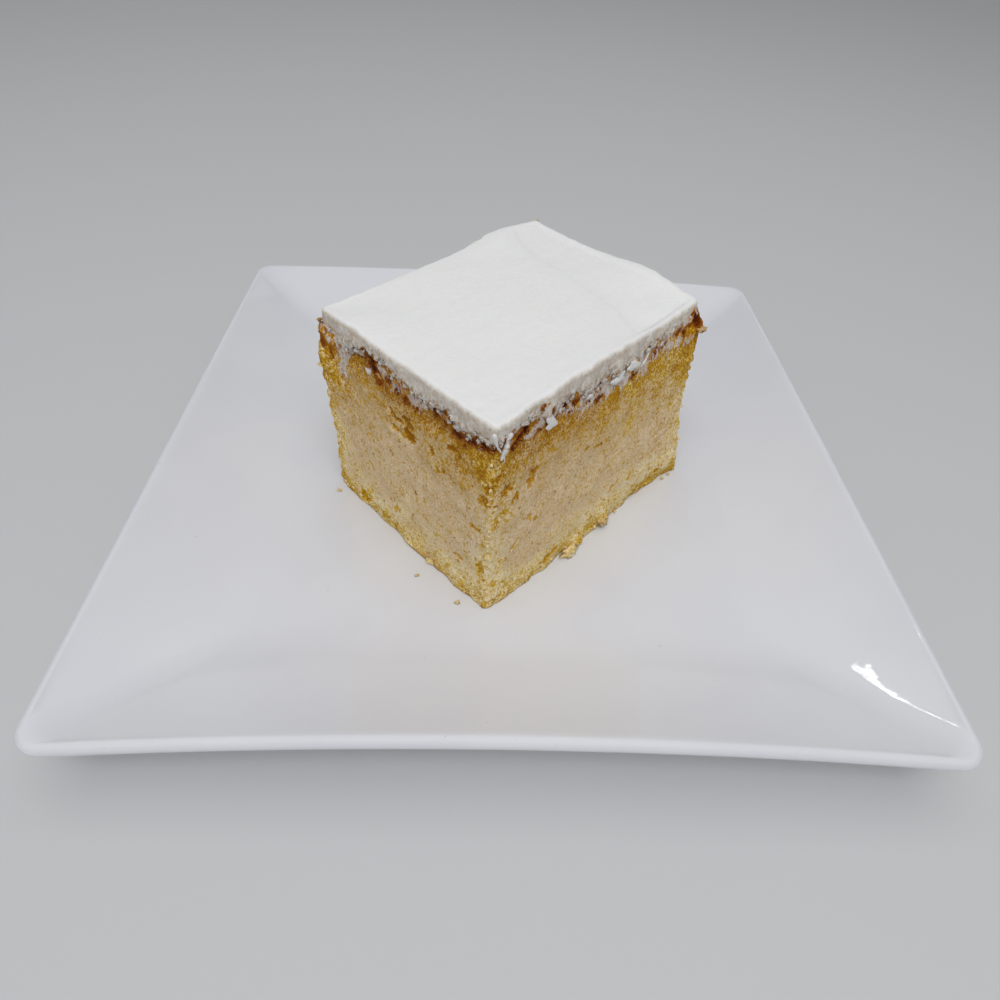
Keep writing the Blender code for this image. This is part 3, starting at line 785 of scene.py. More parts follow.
# Where the crumb is coarse: by the upright edges, near the base and under the crust
def coarseness(points, roundPlace, height, below, drift):
    coarse = 0.10 + 0.35 * drift
    for face, along, strength, reach in byFace(sponge["coarseEdges"]):
        coarse += strength * nearSpot(roundPlace, face, along, reach)
    edgeDrift = 1 + 0.9 * noiseAt(points, 12.0 * mm, 22)
    footStrength, footReach = sponge["coarseFoot"]
    topStrength, topReach = sponge["coarseTop"]
    coarse += footStrength * bump(height / mm, footReach) * edgeDrift
    coarse += topStrength * bump(below / mm, topReach)
    return np.clip(coarse, 0.0, 1.0)


# The grain and clumps of the crumb, with the painted shade in its crevices and lost clumps and the painted
# highlight on clump tops
def crumbRelief(points, roundPlace, coarse):
    fine, hollowShade, pale = (np.zeros(len(points)) for part in range(3))
    for seed, (size, depth) in enumerate(sponge["grains"]):
        fine += depth * mm * (0.5 + 0.7 * coarse) * noiseAt(points, size * mm, 31 + seed)
    warp = np.stack([noiseAt(points, sponge["clumpWarpLength"], 41 + axis) for axis in range(3)], axis=1)
    strewn = points + warp * sponge["clumpWarp"]
    for seed, (spacing, bulge, depth, missing) in enumerate(sponge["clumps"]):
        away, gap, draw = clumpsAt(strewn, spacing * mm, 51 + seed)
        openness = coarse ** (2 - seed) * (0.7 + 0.3 * draw)
        fine += bulge * mm * openness * (0.45 - away)
        crevice = bump(gap, sponge["crevice"]) * openness
        lost = smoothStep(missing - 0.5 * (draw + 1) + 0.3 * coarse - 0.15, 0.0, 0.08)
        lost *= smoothStep(0.75 - away, 0.0, 0.3)
        fine -= depth * mm * (crevice + 0.8 * lost * (0.4 + 0.6 * coarse))
        # painted shade in the crevices between clumps and where clumps are missing
        hollowShade = np.maximum(hollowShade, np.maximum(0.20 * crevice, lost * (0.20 + 0.22 * coarse)))
        # painted highlight on the tops of the clumps
        pale = np.maximum(pale, openness * smoothStep(0.55 - away, 0.0, 0.4) * 0.8)
    torn = sponge["tornEdge"] * noiseAt(points, sponge["tornLength"], 67)
    for face, along in byFace(sponge["tornEdges"]):
        fine += torn * nearSpot(roundPlace, face, along, sponge["tornReach"])
    return fine, hollowShade, pale


# The holes, small lumps and cracks, added to the crumb's relief, with painted shade in holes and cracks and a
# painted highlight on hole rims and lumps
def carveMarks(points, roundPlace, height, fine, hollowShade, pale):
    wobble = 1 + 0.8 * noiseAt(points, 1.1 * mm, 44)
    for *spot, depth in byFace(sponge["holes"]):
        reach = awayFrom(roundPlace, height, *spot) * wobble
        inside = np.sqrt(np.clip(1 - (reach / 1.3) ** 2, 0.0, 1.0))
        rim = bump(reach - 1.95, 0.3)
        fine += sponge["holeRim"] * rim - sponge["holeShare"] * depth * mm * inside
        shade = smoothStep(1.65 - reach, 0.0, 0.4)
        # painted shade in the hole, for the depth that is not carved
        hollowShade = np.maximum(hollowShade, shade * min(1.0, 0.30 + depth * 0.30))
        # painted highlight on the hole's rim
        pale = np.maximum(pale, rim)
    for *spot, rise in byFace(sponge["knobs"]):
        knob = bump(awayFrom(roundPlace, height, *spot) * wobble, 1.0)
        fine += rise * mm * knob
        # painted highlight on the lump
        pale = np.maximum(pale, knob)
    for face, start, end, width, depth in byFace(sponge["cracks"]):
        line = bump(segmentGap(alongFace(roundPlace, face), height / mm, start, end), width)
        fine -= depth * mm * line
        # painted shade along the crack
        hollowShade = np.maximum(hollowShade, line * min(1.0, depth))
    return fine, hollowShade, pale


# The wavy ridges that the knife left near the right edge, and where they show
def knifeRidges(roundPlace, height, drift):
    sideways, upwards = alongFace(roundPlace, "right"), height / mm
    ridged = smoothStep(sideways, 52.0, 72.0) * (sideways < 88) * smoothStep(upwards, 4.0, 12.0)
    ridged *= 1 - smoothStep(upwards, 40.0, 50.0)
    across = upwards + sponge["ridgeSlope"] * sideways + 3.0 * drift
    return np.sin(2 * math.pi * across / sponge["ridgeSpacing"]), ridged


# How much browned crust and wiped cream show at each place
def crustCover(roundPlace, height, below):
    wiped = patchesAt(roundPlace, height, wipedPatches)
    patches = patchesAt(roundPlace, height, crustPatches)
    crust = np.maximum((0.70 - 0.35 * np.minimum(wiped, 1.0)) * bump(below / mm - 1.0, 1.5), patches)
    wiped -= 0.45 * np.minimum(patches, 1.0) * (wiped > 0)
    # the two faces away from the camera have the same crust in a plain ragged band
    crust = np.maximum(crust, stretchAt(roundPlace, *sponge["hidden"]) * bump(below / mm - 1.6, 2.4))
    return crust, np.maximum(wiped, 0.55 * smoothStep(1 - below / (1.6 * mm), 0.0, 1.0))


# How soaked, how yellow and how open the crumb looks; the soak also carries painted shade in hollows and a
# painted highlight on tips
def crumbShades(points, roundPlace, height, below, coarse, drift, ragged, hollowShade, pale):
    golden = np.clip(1 - below / (goldenReach(roundPlace) * mm) + 0.22 * drift + 0.08 * ragged, 0.0, 1.0)
    golden *= 1 + 0.12 * noiseAt(points, 3.0 * mm, 66)
    lowDown = 1 - smoothStep(height / mm, 12.0, 28.0)
    yellow = 0.32 * lowDown + 1.1 * coarse - 0.12 + 0.35 * noiseAt(points, 6.0 * mm, 63)
    yellow = np.clip(yellow + 0.75 * golden * stretchAt(roundPlace, *sponge["goldenEnd"]), 0.0, 1.0)
    loose = np.clip(coarse + 0.35 * stretchAt(roundPlace, *sponge["open"]) + 0.30 * golden, 0.0, 1.0)
    foot = bump(height / mm, 5.5) * (1 + 0.8 * noiseAt(points, 5.0 * mm, 68))
    ends = nearSpot(roundPlace, "left", 66.5, 7.0) + 0.6 * nearSpot(roundPlace, "right", 86.0, 9.0)
    ends += 2.6 * nearSpot(roundPlace, "right", 87.0, 4.0) * smoothStep(height / mm, 34.0, 42.0)
    soakAndShading = sponge["soaked"] + sponge["goldenSoak"] * golden + sponge["crustSoak"] * bump(below / mm, 6.5)
    soakAndShading += sponge["footSoak"] * foot + sponge["endSoak"] * ends
    soakAndShading += sponge["driftSoak"] * noiseAt(points, 5.0 * mm, 64) * (0.3 + loose)
    # painted shade in hollows darkens the crumb and a painted highlight on tips lightens it
    soakAndShading += (sponge["hollowDarkening"] + sponge["goldenHollowDarkening"] * golden) * hollowShade + sponge["tipHighlight"] * pale
    return soakAndShading, yellow, loose


def buildSponge(places, facings, rounds, drops, finish):
    rows, count = sponge["rows"], len(places)
    seam = sliceHeight(places) - drops
    heights = np.linspace(0.0, 1.0, rows)[:, None] * (seam + sponge["tuckedTop"])[None, :]
    points = slicePoint(places, 0.0)[None] + np.stack([0 * heights, 0 * heights, heights], axis=2)
    points = points.reshape(-1, 3)
    roundPlace = np.tile(rounds, rows)
    full = np.tile(sliceHeight(places), rows)
    height = heights.reshape(-1)
    below = np.tile(seam, rows) - height

    drift = noiseAt(points, 9.0 * mm, 21)
    coarse = coarseness(points, roundPlace, height, below, drift)
    fine, hollowShade, pale = carveMarks(points, roundPlace, height, *crumbRelief(points, roundPlace, coarse))
    ridge, ridged = knifeRidges(roundPlace, height, drift)
    fine += sponge["ridgeHeight"] * ridged * ridge
    # painted shade in the troughs of the knife ridges
    hollowShade = np.maximum(hollowShade, ridged * np.clip(-ridge, 0.0, 1.0) * 0.10)
    ragged = 0.6 * noiseAt(points, 2.4 * mm, 61) + 0.5 * noiseAt(points, 1.1 * mm, 62)
    crust, wiped = crustCover(roundPlace, height, below)
    soakAndShading, yellow, loose = crumbShades(points, roundPlace, height, below, coarse, drift, ragged, hollowShade, pale)
    skin = bump(height / mm, 2.0) * (0.12 + 1.4 * noiseAt(points, 12.0 * mm, 65))
    skin += 0.5 * bump(height / mm, 1.6) * nearSpot(roundPlace, "left", 32.0, 9.0)
    shownCrust = smoothStep(crust + 0.35 * ragged, 0.35, 0.65)
    shownWiped = smoothStep(wiped + 0.45 * ragged, 0.35, 0.65) * (1 - 0.6 * shownCrust)
    fine += sponge["wipedRise"] * shownWiped + sponge["crustRise"] * shownCrust * ragged
    # painted shade in the recesses of the ragged crust
    hollowShade = np.maximum(hollowShade, np.clip(-1.3 * ragged, 0.0, 1.0) * shownCrust)

    # all of it fades out under the cream, where the two layers meet
    kept = smoothStep(below, -sponge["tuckedTop"], 0.0)
    relief = broadRelief(points, roundPlace, height, below, full)
    relief += fine * kept - sponge["topDrawnIn"] * (1 - kept)
    plan = np.tile(places, (rows, 1)) + np.tile(facings, (rows, 1)) * relief[:, None]
    ring = slicePoint(plan, height / full)
    ring[:, 2] += seatLevel
    ring[:count, 2] -= sponge["sunkFoot"]
    # the soak mask holds the soaked colour with painted shade and highlight, the pit mask the painted shade
    # of hollows
    masks = {"soakAndShading": soakAndShading, "yellow": yellow, "open": loose, "pit": hollowShade, "skin": skin, "crust": crust,
             "wiped": wiped}
    mesh = skinFromRings("spongeSlice", ring.reshape(rows, count, 3), masks)
    addPiece("spongeSlice", mesh, finish, "sponge")


spongeLooks = {
    "surface": {"Roughness": 0.7, "Specular IOR Level": 0.05, "Subsurface Weight": 0.15,
                "Subsurface Radius": (1.0, 0.6, 0.25), "Subsurface Scale": 0.8 * mm},
    # crumb from pale through soaked to the bottom of its pits, in the middle and at the torn edges
    # the darkest stops also stand for painted shade in hollows, the palest for painted highlight on tips
    "middle": ((0.0, (0.84, 0.68, 0.48)), (0.22, (0.745, 0.57, 0.350)), (0.33, (0.700, 0.513, 0.283)),
               (0.46, (0.655, 0.455, 0.220)), (0.60, (0.60, 0.395, 0.165)), (0.74, (0.53, 0.315, 0.090)),
               (0.87, (0.41, 0.185, 0.025)), (1.0, (0.27, 0.095, 0.008))),
    "edge": ((0.0, (0.93, 0.82, 0.60)), (0.22, (0.87, 0.72, 0.42)), (0.36, (0.83, 0.645, 0.31)),
             (0.52, (0.78, 0.565, 0.21)), (0.72, (0.70, 0.46, 0.09)), (0.88, (0.56, 0.31, 0.025)),
             (1.0, (0.38, 0.155, 0.006))),
    # the small pits, where the milk has gathered, and painted shade in holes and hollows
    "pits": ((0.25, (0.64, 0.40, 0.10)), (0.45, (0.61, 0.365, 0.04)), (0.65, (0.54, 0.285, 0.018)),
             (0.85, (0.37, 0.145, 0.008))),
    "edgePits": ((0.25, (0.75, 0.53, 0.14)), (0.50, (0.68, 0.43, 0.04)), (0.75, (0.58, 0.33, 0.012)),
                 (1.0, (0.42, 0.18, 0.006))),
    "skin": (0.58, 0.34, 0.11),
    "crust": ((0.0, (0.46, 0.195, 0.018)), (0.35, (0.31, 0.095, 0.007)), (0.70, (0.19, 0.043, 0.003)),
              (1.0, (0.085, 0.015, 0.003))),
    "wiped": ((0.0, (0.74, 0.71, 0.68)), (0.45, (0.62, 0.55, 0.50)), (0.75, (0.50, 0.36, 0.27)),
              (1.0, (0.38, 0.19, 0.09))),
    "pitsFrom": (0.250, 0.290),  # the share at which pits begin, with its soft edge
    "relief": 0.15 * mm,
}


def spongeFinish():
    finish, tree, shader = newFinish("soakedSponge", spongeLooks["surface"])
    sand = grain(tree, 0.50 * mm, 2.0, 0.6)
    fleck = grain(tree, 0.95 * mm, 3.0, 0.6)
    bit = grain(tree, 2.2 * mm, 3.0, 0.55)
    pit = grain(tree, 2.4 * mm, 2.0, 0.5)
    pinhole = grain(tree, 1.25 * mm, 2.0, 0.5)
    streak = grain(tree, 0.8 * mm, 2.0, 0.5, (1.0, 1.0, 0.4))
    texture = wander(tree, 0.0, ((sand, 1.9), (fleck, 0.9), (bit, 0.45)))
    openness = total(tree, 0.55, product(tree, painted(tree, "open"), 0.9))
    # the soak mask brings painted shade in hollows and painted highlight on tips with the soaked colour
    soakAndShading = total(tree, painted(tree, "soakAndShading"), product(tree, texture, openness))
    middle = colourAlong(tree, soakAndShading, spongeLooks["middle"])
    edge = colourAlong(tree, soakAndShading, spongeLooks["edge"])
    yellow = spread(tree, wander(tree, painted(tree, "yellow"), ((fleck, 0.4), (bit, 0.7))), 0.05, 0.95)
    surface = mixColour(tree, yellow, middle, edge)
    # golden pits with clear edges, more of them where the crumb is more soaked, solid in holes and hollows as
    # painted shade
    pits = total(tree, product(tree, painted(tree, "soakAndShading"), 0.40), product(tree, painted(tree, "pit"), 0.45))
    pits = wander(tree, pits, ((pit, 0.65), (pinhole, 0.9), (sand, 0.25)))
    gold = mixColour(tree, yellow, colourAlong(tree, soakAndShading, spongeLooks["pits"]),
                     colourAlong(tree, soakAndShading, spongeLooks["edgePits"]))
    surface = layOver(tree, surface, gold, pits, *spongeLooks["pitsFrom"], 0.9)
    skin = wander(tree, painted(tree, "skin"), ((fleck, 0.9), (bit, 0.9)))
    surface = layOver(tree, surface, spongeLooks["skin"], skin, 0.3, 0.8, 0.8)
    browned = wander(tree, painted(tree, "crust"), ((fleck, 1.2), (bit, 1.5), (sand, 0.7)))
    crust = colourAlong(tree, spread(tree, browned, 0.15, 1.25), spongeLooks["crust"])
    surface = layOver(tree, surface, crust, browned, 0.15, 0.60)
    cover = wander(tree, 0.38, ((sand, 1.7), (fleck, 1.8), (bit, 1.6)))
    cover = colourAlong(tree, cover, spongeLooks["wiped"])
    wiped = wander(tree, painted(tree, "wiped"), ((streak, 1.9), (fleck, 1.5), (bit, 1.2)))
    joinUp(tree, layOver(tree, surface, cover, wiped, 0.44, 0.74, 0.92), shader.inputs["Base Color"])
    rough = wander(tree, 0.5, ((sand, 0.9), (fleck, 0.8), (bit, 0.3)))
    rough = pitted(tree, rough, spongeLooks["relief"])
    joinUp(tree, rough, shader.inputs["Normal"])
    return finish


creamLooks = {
    "surface": {"Roughness": 0.5, "Specular IOR Level": 0.3, "Subsurface Weight": 0.15,
                "Subsurface Radius": (1.0, 0.9, 0.75), "Subsurface Scale": 1.0 * mm},
    "top": (0.84, 0.835, 0.83),
    # the cut side: its own torn cream colour, made darker than the top as painted shade for a side turned
    # from the light
    "cut": ((0.0, (0.78, 0.76, 0.72)), (0.36, (0.645, 0.580, 0.500)), (0.68, (0.55, 0.455, 0.360)),
            (1.0, (0.42, 0.28, 0.17))),
    "speck": (0.62, 0.46, 0.26),
    "stain": ((0.0, (0.60, 0.505, 0.445)), (1.0, (0.38, 0.23, 0.135))),
    "crumb": ((0.0, (0.56, 0.29, 0.07)), (0.5, (0.32, 0.12, 0.018)), (1.0, (0.09, 0.025, 0.006))),
    "smoothRelief": 0.02 * mm,
    "tornRelief": 0.42 * mm,
}


def creamFinish():
    finish, tree, shader = newFinish("whippedCream", creamLooks["surface"])
    cut, stain = painted(tree, "cut"), painted(tree, "stain")
    sand = grain(tree, 0.55 * mm, 2.0, 0.6)
    fleck = grain(tree, 0.85 * mm, 3.0, 0.6)
    bit = grain(tree, 1.8 * mm, 3.0, 0.6)
    smudge = grain(tree, 2.6 * mm, 3.0, 0.6, (1.0, 1.0, 1.3))
    torn = total(tree, 0.50, product(tree, stain, 1.2))
    mottle = wander(tree, 0.0, ((sand, 1.3), (fleck, 1.9), (bit, 2.2)))
    mottle = total(tree, 0.32, product(tree, mottle, torn))
    mottle = total(tree, mottle, product(tree, stain, 0.16))
    side = colourAlong(tree, mottle, creamLooks["cut"])
    speck = grain(tree, 0.7 * mm, 2.0, 0.5)
    side = layOver(tree, side, creamLooks["speck"], speck, 0.56, 0.66, 0.55)
    stained = wander(tree, product(tree, stain, 0.60), ((fleck, 1.4), (bit, 1.7), (smudge, 1.6)))
    smear = colourAlong(tree, spread(tree, fleck, 0.35, 0.65), creamLooks["stain"])
    side = layOver(tree, side, smear, stained, 0.42, 0.95, 0.85)
    crust = wander(tree, painted(tree, "crust"), ((sand, 0.8), (fleck, 1.5), (bit, 1.3)))
    crumb = colourAlong(tree, spread(tree, crust, 0.45, 1.1), creamLooks["crumb"])
    side = layOver(tree, side, crumb, crust, 0.48, 0.66)
    # the top's colour, or the cut side's, which holds painted shade
    joinUp(tree, mixColour(tree, cut, creamLooks["top"], side), shader.inputs["Base Color"])
    smooth = pitted(tree, grain(tree, 1.4 * mm, 2.0, 0.5), creamLooks["smoothRelief"], 0.6)
    rough = wander(tree, 0.5, ((sand, 0.6), (fleck, 1.2), (bit, 1.2)))
    rough = product(tree, rough, total(tree, stain, 0.25))
    joinUp(tree, pitted(tree, rough, creamLooks["tornRelief"], 1.0, smooth), shader.inputs["Normal"])
    return finish


# Cream lumps and drips that hang from the torn edge
lumps = (
    # face, distance, height, stand-off, reach sideways, upwards and outwards (mm), roughness,
    # and its points: each an angle (degrees, from sideways) and how far it sticks out
    ("right", 19.4, 53.5, 0.6, 1.15, 1.15, 0.45, 0.30,
     ((-34, 1.5), (207, 0.7), (85, 0.8), (131, 1.5), (258, 0.7))),
    ("right", 34.8, 53.7, 0.5, 1.0, 0.6, 0.35, 0.35, ((30, 0.7), (215, 0.6))),
    ("right", 46.5, 52.8, 0.6, 2.0, 0.9, 0.5, 0.35, ((55, 1.1), (-25, 0.9), (155, 0.8))),
    ("right", 53.5, 54.1, 0.7, 1.6, 1.25, 0.55, 0.30, ((-23, 1.3), (120, 0.8), (190, 0.6), (265, 0.3))),
    ("left", 46.4, 51.6, 0.0, 0.9, 0.7, 0.3, 0.5, ((30, 0.4),)),
    ("left", 57.2, 45.3, 0.0, 0.6, 1.3, 0.35, 0.4, ((250, 0.5),)),
)
lumpLooks = {
    # waves over a lump: how many, and their share of its roughness
    "waves": ((1.7, 1.0), (4.1, 0.8), (9.0, 0.5)),
    "pointWidth": 0.42,  # radians
    "pointSharpness": 6,
    "dripOut": 0.45,  # how far a drip's middle stands off the face, mm
    "dripSides": 16,
    "dripEnd": 29.0,  # degrees that each ring turns in, at the rounded ends
    "dripWaves": ((0.6, 1.1), (0.5, 0.45)),  # share of the radius, length (mm)
    # small shreds along the torn edge, cream and stained cream
    "shreds": 190,
    "seed": 21,
    "shredFaces": ("left", "right", "right", "left", "right", "hidden", "left", "far"),
    # mm: mean and spread of how far a shred sits above the edge, then its least and most size
    "shredRise": (0.5, 0.7),
    "shredWide": (0.3, 0.9),
    "shredTall": (0.2, 0.55),
    "shredThickness": 0.28,
    "shredOut": (0.2, 0.55),
    "shredTilt": 0.9,  # radians to either side
    "shredRoughness": 0.9,
}
drips = (
    # face, places down the drip (distance, height, radius in mm)
    ("right", ((-0.9, 60.6, 0.42), (-0.7, 59.8, 0.42), (-0.3, 58.6, 0.36), (0.4, 56.8, 0.30),
               (1.6, 54.9, 0.15))),
    ("right", ((4.4, 58.0, 0.60), (3.8, 57.3, 0.55), (3.6, 56.3, 0.36), (3.2, 54.9, 0.76), (2.7, 53.5, 0.52),
               (2.0, 52.5, 0.16))),
    ("right", ((2.8, 53.4, 0.34), (3.0, 52.2, 0.26), (3.1, 51.2, 0.12))),
    ("right", ((61.2, 55.6, 0.14), (60.6, 54.2, 0.26), (59.8, 53.0, 0.34), (58.9, 52.3, 0.26),
               (57.6, 51.8, 0.14))),
)


# An uneven lump with its radii in mm along the axes, and with points that stick out
def addLump(builder, centre, axes, radii, spikes, seed, level=3, points=()):
    made = bmesh.ops.create_icosphere(builder, subdivisions=level, radius=1.0)
    for vert in made["verts"]:
        way = vert.co.normalized()
        swell = 1.0
        for number, (count, share) in enumerate(lumpLooks["waves"]):
            swell += spikes * share * noise.noise(way * count + seedStep * (seed + number))
        for angle, reach in points:
            turn = math.atan2(way.y, way.x) - math.radians(angle)
            turn = math.atan2(math.sin(turn), math.cos(turn))
            point = math.exp(-(turn / lumpLooks["pointWidth"]) ** 2)
            swell += reach * point * math.hypot(way.x, way.y) ** lumpLooks["pointSharpness"]
        offset = sum((axis * part * radius * mm for axis, part, radius in zip(axes, way, radii)), Vector())
        vert.co = centre + offset * swell


# A tapering thread of cream down a face, as rings that round off at both ends
def dripRings(face, path):
    steps = 5 * (len(path) - 1)
    rings = []
    for step in range(-3, steps + 4):
        share = min(max(step / steps, 0.0), 1.0) * (len(path) - 1)
        along, height, radius = (np.interp(share, range(len(path)), part) for part in zip(*path))
        past = max(step - steps, -step, 0)
        turn = math.radians(lumpLooks["dripEnd"] * past)
        height += (1 if step < 0 else -1) * radius * math.sin(turn)
        radius *= math.cos(turn)
        centre, (sideways, upwards, outward) = onFace(face, float(along), float(height), lumpLooks["dripOut"])
        ring = []
        for side in range(lumpLooks["dripSides"]):
            angle = 2 * math.pi * side / lumpLooks["dripSides"]
            way = sideways * math.cos(angle) + outward * math.sin(angle)
            spot = centre + way * radius * mm
            ragged = sum(part * noise.noise(spot / (length * mm)) for part, length in lumpLooks["dripWaves"])
            ring.append(tuple(spot + way * radius * mm * ragged))
        rings.append(ring)
    return rings


def buildLumps(finish, lip):
    draw = np.random.default_rng(lumpLooks["seed"])
    builder = bmesh.new()
    cut, stain = [], []

    def shadeNew(cutShare, stainShare):
        more = len(builder.verts) - len(cut)
        cut.extend([cutShare] * more)
        stain.extend([stainShare] * more)

    for number, (face, along, height, out, wide, tall, thick, rough, points) in enumerate(lumps):
        spot = onFace(face, along, height, out)
        addLump(builder, *spot, (wide, tall, thick), rough, 70 + number * 3, 4, points)
        shadeNew(0.18, 0.0)
    for face, path in drips:
        drip = skinFromRings("drip", dripRings(face, path))
        builder.from_mesh(drip)
        bpy.data.meshes.remove(drip)
        shadeNew(0.25, 0.05)
    for number in range(lumpLooks["shreds"]):
        face = lumpLooks["shredFaces"][number % len(lumpLooks["shredFaces"])]
        along = draw.uniform(0.5, faceLengths[face] - 0.5)
        height = lip(face, along) + draw.normal(*lumpLooks["shredRise"])
        wide, tall = draw.uniform(*lumpLooks["shredWide"]), draw.uniform(*lumpLooks["shredTall"])
        out = draw.uniform(*lumpLooks["shredOut"])
        centre, (sideways, upwards, outward) = onFace(face, along, height, out)
        tilt = draw.uniform(-lumpLooks["shredTilt"], lumpLooks["shredTilt"])
        across = sideways * math.cos(tilt) + upwards * math.sin(tilt)
        axes = (across, outward.cross(across), outward)
        radii = (wide, tall, lumpLooks["shredThickness"])
        addLump(builder, centre, axes, radii, lumpLooks["shredRoughness"], 700 + number)
        shadeNew(1 - 0.5 * draw.uniform(0, 1) ** 2, draw.uniform(0.1, 1.0))
    bmesh.ops.recalc_face_normals(builder, faces=builder.faces)
    mesh = meshFrom(builder, "creamLumps")
    # the cut mask gives lumps and shreds part of the cut side's colour, with its painted shade
    for maskName, values in (("cut", cut), ("stain", stain), ("crust", [0.0] * len(cut))):
        paintMask(mesh, maskName, values)
    addPiece("creamLumps", mesh, finish)


# Plate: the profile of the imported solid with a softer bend, drawn finely enough for a smooth glaze
plate = {
    "side": 210.0 * mm, "corner": 6.5 * mm, "bow": 2.0 * mm, "lift": 2.8 * mm,
    "rimLevel": 18.3 * mm, "rimThickness": 3.7 * mm,
    "wellSide": 140.0 * mm, "wellCorner": 4.0 * mm, "bodyThickness": 4.4 * mm,
    "sag": 0.42, "slopeAngle": 20.0,
    "footSide": 132.0 * mm, "footCorner": 8.0 * mm, "footWidth": 4.0 * mm, "footTaper": 0.8 * mm,
    "wellSoftness": 0.45,  # share of the slope over which the well runs into it
    "footEdge": 0.8 * mm, "footRound": 0.5 * mm,
    "sidePoints": 48, "cornerPoints": 12, "slopeRows": 34, "rimRows": 20, "backRows": 12,
    "wellRings": (0.2, 0.5, 0.8, 0.96),
}


# One square ring with round corners, its sides bowed in and lifted by shares of the plate's own
def plateRing(half, radius, level, bowShare=0.0, liftShare=0.0):
    bow, lift = plate["bow"] * bowShare, plate["lift"] * liftShare
    straight = half - radius
    points = []
    for quarter in range(4):
        turn = Matrix.Rotation(quarter * math.pi / 2, 3, "Z")
        for step in range(plate["sidePoints"] + 1):
            place = step / plate["sidePoints"] * 2 - 1
            middle = 1 - place * place
            spot = Vector((place * straight, -half + bow * middle, level + lift * middle))
            points.append(tuple(turn @ spot))
        for step in range(1, plate["cornerPoints"]):
            angle = math.pi / 2 * (step / plate["cornerPoints"] - 1)
            reach = radius * Vector((math.cos(angle), math.sin(angle), 0.0))
            points.append(tuple(turn @ (Vector((straight, -straight, level)) + reach)))
    return points


def buildPlate(finish):
    halfRim = plate["rimThickness"] / 2
    rimHalf = plate["side"] / 2 - halfRim
    rimStart = math.radians(90.0 + plate["slopeAngle"])
    innerHalf = rimHalf + halfRim * math.cos(rimStart)
    innerLevel = plate["rimLevel"] + halfRim * math.sin(rimStart)
    wellHalf = plate["wellSide"] / 2
    soft = plate["wellSoftness"]
    corner, wellCorner = plate["corner"], plate["wellCorner"]

    def blend(start, end, share):
        return start + (end - start) * share

    flatHalf = blend(wellHalf, innerHalf, -soft / 2)
    rings = [plateRing(flatHalf * share, wellCorner * share, wellLevel) for share in plate["wellRings"]]
    for row in range(plate["slopeRows"] + 1):
        share = -soft / 2 + (1 + soft / 2) * row / plate["slopeRows"]
        # the bend at the well's edge is rounded
        eased = share if share > soft / 2 else (share + soft / 2) ** 2 / (2 * soft)
        rise = eased * (1 - plate["sag"]) + eased * eased * plate["sag"]
        onSlope = max(share, 0.0)
        rings.append(plateRing(blend(wellHalf, innerHalf, share), blend(wellCorner, corner, onSlope),
                               blend(wellLevel, innerLevel, rise), onSlope, rise))
    for row in range(1, plate["rimRows"] + 1):
        angle = rimStart - math.pi * row / plate["rimRows"]
        reach = halfRim * math.cos(angle)
        level = plate["rimLevel"] + halfRim * math.sin(angle)
        rings.append(plateRing(rimHalf + reach, corner - halfRim + reach, level, 1.0, 1.0))
    # the back of the slope, down to the foot ring
    footHalf, footCorner, taper = plate["footSide"] / 2, plate["footCorner"], plate["footTaper"]
    underside = wellLevel - plate["bodyThickness"]
    outerHalf = rimHalf - halfRim * math.cos(rimStart)
    outerLevel = plate["rimLevel"] - halfRim * math.sin(rimStart)
    for row in range(1, plate["backRows"]):
        share = 1 - row / plate["backRows"]
        rings.append(plateRing(blend(footHalf, outerHalf, share), blend(footCorner, corner, share),
                               blend(underside, outerLevel, share), share, share))
    innerFoot = footHalf - taper - plate["footWidth"]
    innerRadius = footCorner - plate["footWidth"]
    for half, radius, level in ((footHalf, footCorner, underside),
                                (footHalf - 0.8 * taper, footCorner, plate["footEdge"]),
                                (footHalf - taper - plate["footRound"], footCorner, 0.0),
                                (innerFoot + plate["footRound"], innerRadius, 0.0),
                                (innerFoot - 0.2 * taper, innerRadius, plate["footEdge"]),
                                (innerFoot - taper, innerRadius, underside)):
        rings.append(plateRing(half, radius, level))
    addPiece("glazedPlate", skinFromRings("glazedPlate", rings[::-1]), finish, "plate")


glazeLooks = {
    "surface": {"Roughness": 0.3, "IOR": 1.5, "Coat Weight": 0.8, "Coat Roughness": 0.03},
    "clouds": ((0.745, 0.755, 0.805), (0.77, 0.78, 0.82)),
    "speck": (0.55, 0.55, 0.56),
    # ripples of the glaze: length (mm), how rough, height (mm), strength
    "ripples": ((14.0, 0.4, 0.06, 0.4), (3.5, 0.5, 0.02, 0.5)),
}


def glazeFinish():
    finish, tree, shader = newFinish("glazedPorcelain", glazeLooks["surface"])
    cloud = grain(tree, 30.0 * mm)
    speck = grain(tree, 0.9 * mm)
    surface = layOver(tree, *glazeLooks["clouds"], cloud, 0.3, 0.7)
    surface = layOver(tree, surface, glazeLooks["speck"], speck, 0.74, 0.80)
    joinUp(tree, surface, shader.inputs["Base Color"])
    ripple = None
    for length, rough, height, strength in glazeLooks["ripples"]:
        ripple = pitted(tree, grain(tree, length * mm, 2.0, rough), height * mm, strength, ripple)
    joinUp(tree, ripple, shader.inputs["Normal"])
    joinUp(tree, ripple, shader.inputs["Coat Normal"])
    return finish


